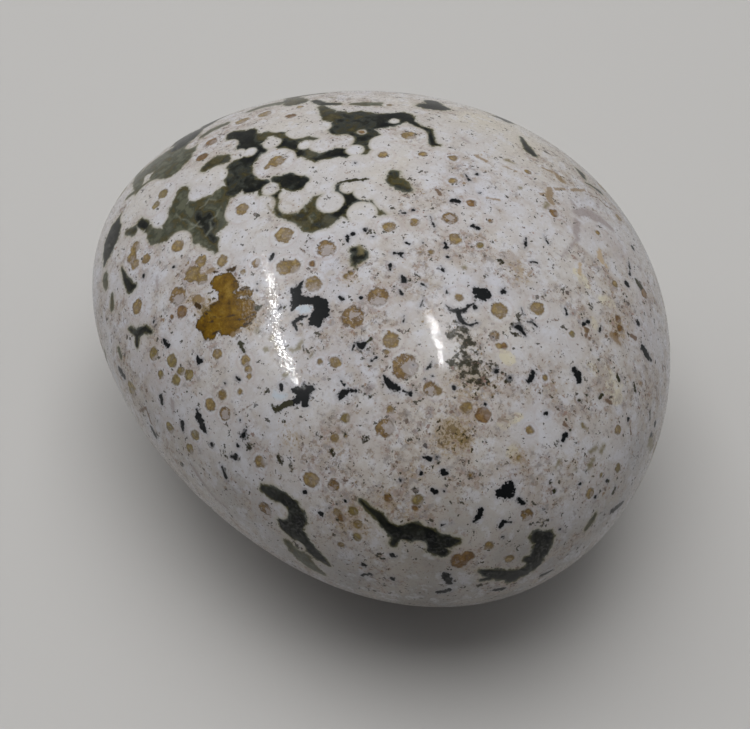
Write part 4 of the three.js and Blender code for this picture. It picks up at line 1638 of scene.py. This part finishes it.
fringe_dark = ramp(
    clouds(2.2, 2.0, shift=(0.0, 13.0, 6.0)),
    (0.42, ROCK_COLOURS["grey_blue_fringe"]),
    (0.54, ROCK_COLOURS["olive_fringe"]),
)
rock_fringe = mix(list_tone, fringe_dark, ROCK_COLOURS["pale_fringe"])
rock_colour = mix(times(fade(depth, 0.34, 0.02), 0.65), rock_colour, rock_fringe)
colour = mix(rock_cover, colour, rock_colour)
print("nodes with the dark rock:", len(tree.nodes))

# %% [markdown]
# ## Painting the flecks and veins
#
# Flecks and veins lie over all the rest. The nearest stroke gives the colour as well as
# the edge. A black fleck has a crisp edge and a faint lilac halo, where the clear quartz
# round it looks darker, and the paler veins are softer and let some of the white through.
# A small bite taken off every edge keeps the raggedness from making them too broad.

# %% Flecks and veins
FLECK_BITE = 0.08
FLECK_HALO_COLOUR = (0.33, 0.33, 0.36)
crumbly_noise = plus(ragged, times(lobes, 1.5), times(grain, 0.5))
fleck_edges = [gap_to_piece(f"fleck_{rank}", crumbly_noise) for rank in range(FLECKS_PER_FACE)]
zero_nearer = calc("LESS_THAN", fleck_edges[0], fleck_edges[1])
fleck_edge = plus(calc("MINIMUM", fleck_edges[0], fleck_edges[1]), FLECK_BITE)
fleck_tones = [stored(f"fleck_{rank}_tone")["Fac"] for rank in range(FLECKS_PER_FACE)]
fleck_tone = mix(zero_nearer, fleck_tones[1], fleck_tones[0], "FLOAT")
fleck_colour = ramp(
    fleck_tone,
    (0.0, (0.008, 0.009, 0.01)),
    (0.1, (0.04, 0.038, 0.02)),
    (0.2, (0.05, 0.029, 0.01)),
    (0.4, (0.15, 0.095, 0.06)),
    (0.5, (0.25, 0.175, 0.095)),
    (0.6, (0.44, 0.33, 0.2)),
    (0.75, (0.18, 0.15, 0.07)),
    (0.9, (0.31, 0.265, 0.26)),
    # 0.95 is the colour of the painted quartz glints
    (0.95, (0.3, 0.31, 0.25)),
    (1.0, (0.5, 0.57, 0.64)),
)
fleck_halo = times(fade(fleck_edge, 0.5, 0.03), fade(fleck_tone, 0.15, 0.05))
colour = mix(times(fleck_halo, 0.4), colour, FLECK_HALO_COLOUR)
softness = plus(0.09, times(fade(fleck_tone, 0.3, 1.0), 0.25))
fleck_cover = fade(fleck_edge, softness, times(softness, -1.0))
fleck_cover = times(fleck_cover, mix(fade(fleck_tone, 0.3, 0.5), 1.0, 0.8, "FLOAT"))
colour = mix(fleck_cover, colour, fleck_colour)
print("nodes with the flecks:", len(tree.nodes))

# %% [markdown]
# ## The polish
#
# Jasper takes a high polish. A mirror-like coat over a softer gloss gives a sharp
# reflection with a faint glow round it, as the real stone has. Tiny spots that the polish
# didn't reach stay dull, so a bright reflection breaks up into sparkles. The coat is left
# off there, and a shallow bump makes the edges of each reflection wander.

# %% Polish and dull spots
QUARTZ_IOR = 1.54
GLOSS = 0.08
GLOSS_ROUGHNESS = 0.3
COAT = 0.6
COAT_ROUGHNESS = 0.025
COAT_LOST_IN_DULL_SPOTS = 0.93
DULL_SPOT_SIZE = 0.26
DULL_FROM = 0.44
DULL_FULLY = 0.5
WAVE_STRENGTH = 0.18
WAVE_DEPTH = 0.03 * MM
dull_noise = clouds(DULL_SPOT_SIZE, 3.0, 0.7, shift=(3.0, 8.0, 1.0))
dull = fade(dull_noise, DULL_FROM, DULL_FULLY)
coat_here = times(COAT, calc("SUBTRACT", 1.0, times(dull, COAT_LOST_IN_DULL_SPOTS)))
polish_waves = plus(grain, times(lobes, 0.35))
coat_bump = tree.nodes.new("ShaderNodeBump")
coat_bump.inputs["Strength"].default_value = 1.0
coat_bump.inputs["Distance"].default_value = WAVE_DEPTH
feed(coat_bump.inputs["Height"], times(polish_waves, WAVE_STRENGTH))

surface = tree.nodes.new("ShaderNodeBsdfPrincipled")
feed(surface.inputs["Base Color"], colour)
surface.inputs["Roughness"].default_value = GLOSS_ROUGHNESS
surface.inputs["IOR"].default_value = QUARTZ_IOR
surface.inputs["Specular IOR Level"].default_value = GLOSS
feed(surface.inputs["Coat Weight"], coat_here)
surface.inputs["Coat Roughness"].default_value = COAT_ROUGHNESS
surface.inputs["Coat IOR"].default_value = QUARTZ_IOR
feed(surface.inputs["Coat Normal"], coat_bump.outputs["Normal"])
output = tree.nodes.new("ShaderNodeOutputMaterial")
feed(output.inputs["Surface"], surface.outputs["BSDF"])
stone_mesh.materials.append(jasper)
print("nodes:", len(tree.nodes))

# %% [markdown]
# ## The floor
#
# A plain pale floor takes the stone's shadow and throws a little light back up.

# %% Floor
FLOOR_SIZE = 3.0
FLOOR_COLOUR = (0.54, 0.53, 0.515, 1.0)
FLOOR_ROUGHNESS = 0.85
floor_shape = bmesh.new()
bmesh.ops.create_grid(floor_shape, x_segments=1, y_segments=1, size=FLOOR_SIZE / 2)
floor_mesh = bpy.data.meshes.new("floor")
floor_shape.to_mesh(floor_mesh)
floor_shape.free()
floor = bpy.data.objects.new("floor", floor_mesh)
bpy.context.scene.collection.objects.link(floor)
floor_paint = bpy.data.materials.new("pale_floor")
floor_paint.use_nodes = True
floor_surface = floor_paint.node_tree.nodes["Principled BSDF"]
floor_surface.inputs["Base Color"].default_value = FLOOR_COLOUR
floor_surface.inputs["Roughness"].default_value = FLOOR_ROUGHNESS
floor_mesh.materials.append(floor_paint)
floor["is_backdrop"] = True
print("floor, m:", FLOOR_SIZE)

# %% [markdown]
# ## Light
#
# The light is soft and comes from above and behind. A polished stone shows its surroundings
# as much as itself, and a sky of one brightness would leave it flat. This one is brighter
# at the back, which gives the polish something gentle to mirror.

# %% Sky
SKY_HEADING = math.radians(150)
SKY_LIFT = math.radians(50)
SKY_COLOUR = (0.98, 0.985, 1.0, 1.0)
SKY_BRIGHTEST = 0.205
SKY_DARK_FROM = -0.7
SKY_BRIGHT_FROM = 0.9


def direction_of(heading, lift):
    """The direction with that compass heading from +X and that angle above the floor."""
    level = math.cos(lift)
    return Vector((level * math.cos(heading), level * math.sin(heading), math.sin(lift)))


world = bpy.data.worlds.new("studio")
bpy.context.scene.world = world
world.use_nodes = True
sky_nodes = world.node_tree.nodes
sky_links = world.node_tree.links
sky = sky_nodes["Background"]
sky.inputs["Color"].default_value = SKY_COLOUR
looking = sky_nodes.new("ShaderNodeTexCoord")
towards_back = sky_nodes.new("ShaderNodeVectorMath")
towards_back.operation = "DOT_PRODUCT"
towards_back.inputs[1].default_value = direction_of(SKY_HEADING, SKY_LIFT)
brightness = sky_nodes.new("ShaderNodeMapRange")
brightness.interpolation_type = "SMOOTHSTEP"
brightness.inputs["From Min"].default_value = SKY_DARK_FROM
brightness.inputs["From Max"].default_value = SKY_BRIGHT_FROM
brightness.inputs["To Max"].default_value = SKY_BRIGHTEST
sky_links.new(looking.outputs["Generated"], towards_back.inputs[0])
sky_links.new(towards_back.outputs["Value"], brightness.inputs["Value"])
sky_links.new(brightness.outputs["Result"], sky.inputs["Strength"])
bpy.context.scene.view_settings.view_transform = "Standard"
print("brightest sky:", SKY_BRIGHTEST)

# %% [markdown]
# ## Soft lamps
#
# One large lamp overhead does most of the work, so the near side of the stone falls into
# shade, and three weaker ones fill it. The polish would mirror such lamps as plain white
# squares, so they are kept out of reflections.

# %% Soft lamps
# Each row gives the name, heading, lift, distance in m and power in W
SOFT_LAMPS = (
    ("overhead_lamp", math.radians(140), math.radians(82), 0.8, 4.95),
    ("far_lamp", math.radians(134), math.radians(40), 1.0, 0.3),
    ("left_lamp", math.radians(-168), math.radians(40), 1.0, 1.4),
    ("right_lamp", math.radians(50), math.radians(38), 1.0, 0.5),
)
SOFT_LAMP_SIZE = 0.7

for name, heading, lift, reach, power in SOFT_LAMPS:
    lamp_data = bpy.data.lights.new(name, "AREA")
    lamp_data.size = SOFT_LAMP_SIZE
    lamp_data.energy = power
    lamp = bpy.data.objects.new(name, lamp_data)
    bpy.context.scene.collection.objects.link(lamp)
    lamp.location = AIM + direction_of(heading, lift) * reach
    lamp.rotation_euler = (AIM - lamp.location).to_track_quat("-Z", "Y").to_euler()
    lamp.visible_glossy = False
print("soft lamps, W:", sum(lamp[4] for lamp in SOFT_LAMPS))

# %% [markdown]
# ## Streaks in the polish
#
# The polish mirrors a few narrow, far brighter things: the edges of a window. Each streak
# gets a slim oval lamp, set where the polish mirrors it between two points of the frame.
# A lamp's power follows from how bright its face is, so each has the brightness that
# its streak needs, whatever its size. A broad dim one makes the haze beside a streak.

# %% Lamps for the streaks
LAMP_REACH = 0.45
# Each row gives the name, both ends in the frame, the width in m and the face's brightness
STREAKS = (
    ("left_top_streak", (262, 257), (274, 290), 0.007, 50.0),
    ("left_upper_streak", (271, 276), (277, 325), 0.009, 55.0),
    ("left_lower_streak", (273, 326), (301, 387), 0.017, 65.0),
    ("left_haze", (262, 252), (288, 378), 0.11, 2.9),
    ("right_upper_streak", (428, 308), (442, 354), 0.013, 75.0),
    ("right_lower_streak", (442, 343), (443, 369), 0.010, 75.0),
    ("right_haze", (436, 292), (448, 372), 0.09, 3.4),
)


def mirrored(column, row):
    """The place where a lamp must be to shine in the polish at that point of the frame."""
    place, outward = seen_at(column, row)
    view = (place - camera.location).normalized()
    return place + view.reflect(outward) * LAMP_REACH


def lamp_turn(length_way, width_way, shine_way):
    """The turn that lays a lamp's length and width along two directions."""
    turn = camera.matrix_world.to_3x3()
    turn.col[0] = length_way
    turn.col[1] = width_way
    turn.col[2] = -shine_way
    return turn


for name, first_end, last_end, width, face_brightness in STREAKS:
    first, last = mirrored(*first_end), mirrored(*last_end)
    middle = (first + last) / 2
    data = bpy.data.lights.new(name, "AREA")
    data.shape = "ELLIPSE"
    data.size = (last - first).length
    data.size_y = width
    lamp_area = math.pi / 4 * data.size * width
    data.energy = face_brightness * math.pi * lamp_area
    lamp = bpy.data.objects.new(name, data)
    bpy.context.scene.collection.objects.link(lamp)
    lamp.location = middle
    length_way = (last - first).normalized()
    shine_way = (AIM - middle).normalized()
    width_way = length_way.cross(shine_way).normalized()
    shine_way = width_way.cross(length_way)
    lamp.rotation_euler = lamp_turn(length_way, width_way, shine_way).to_euler()
    lamp.visible_diffuse = False
    print(name, "length, m:", round(data.size, 3), "power, W:", round(data.energy, 3))

# %% [markdown]
# ## Sizes
#
# The last step writes down the box of the construction model and the box of the finished
# stone, in metres. They have to agree, because the lesson changed the skin and not the size.

# %% Sizes
bpy.context.view_layer.update()
sizes = {
    "cad_box": [list(corner) for corner in cad_box],
    "visual_box": [list(corner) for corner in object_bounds()],
}
print(sizes)
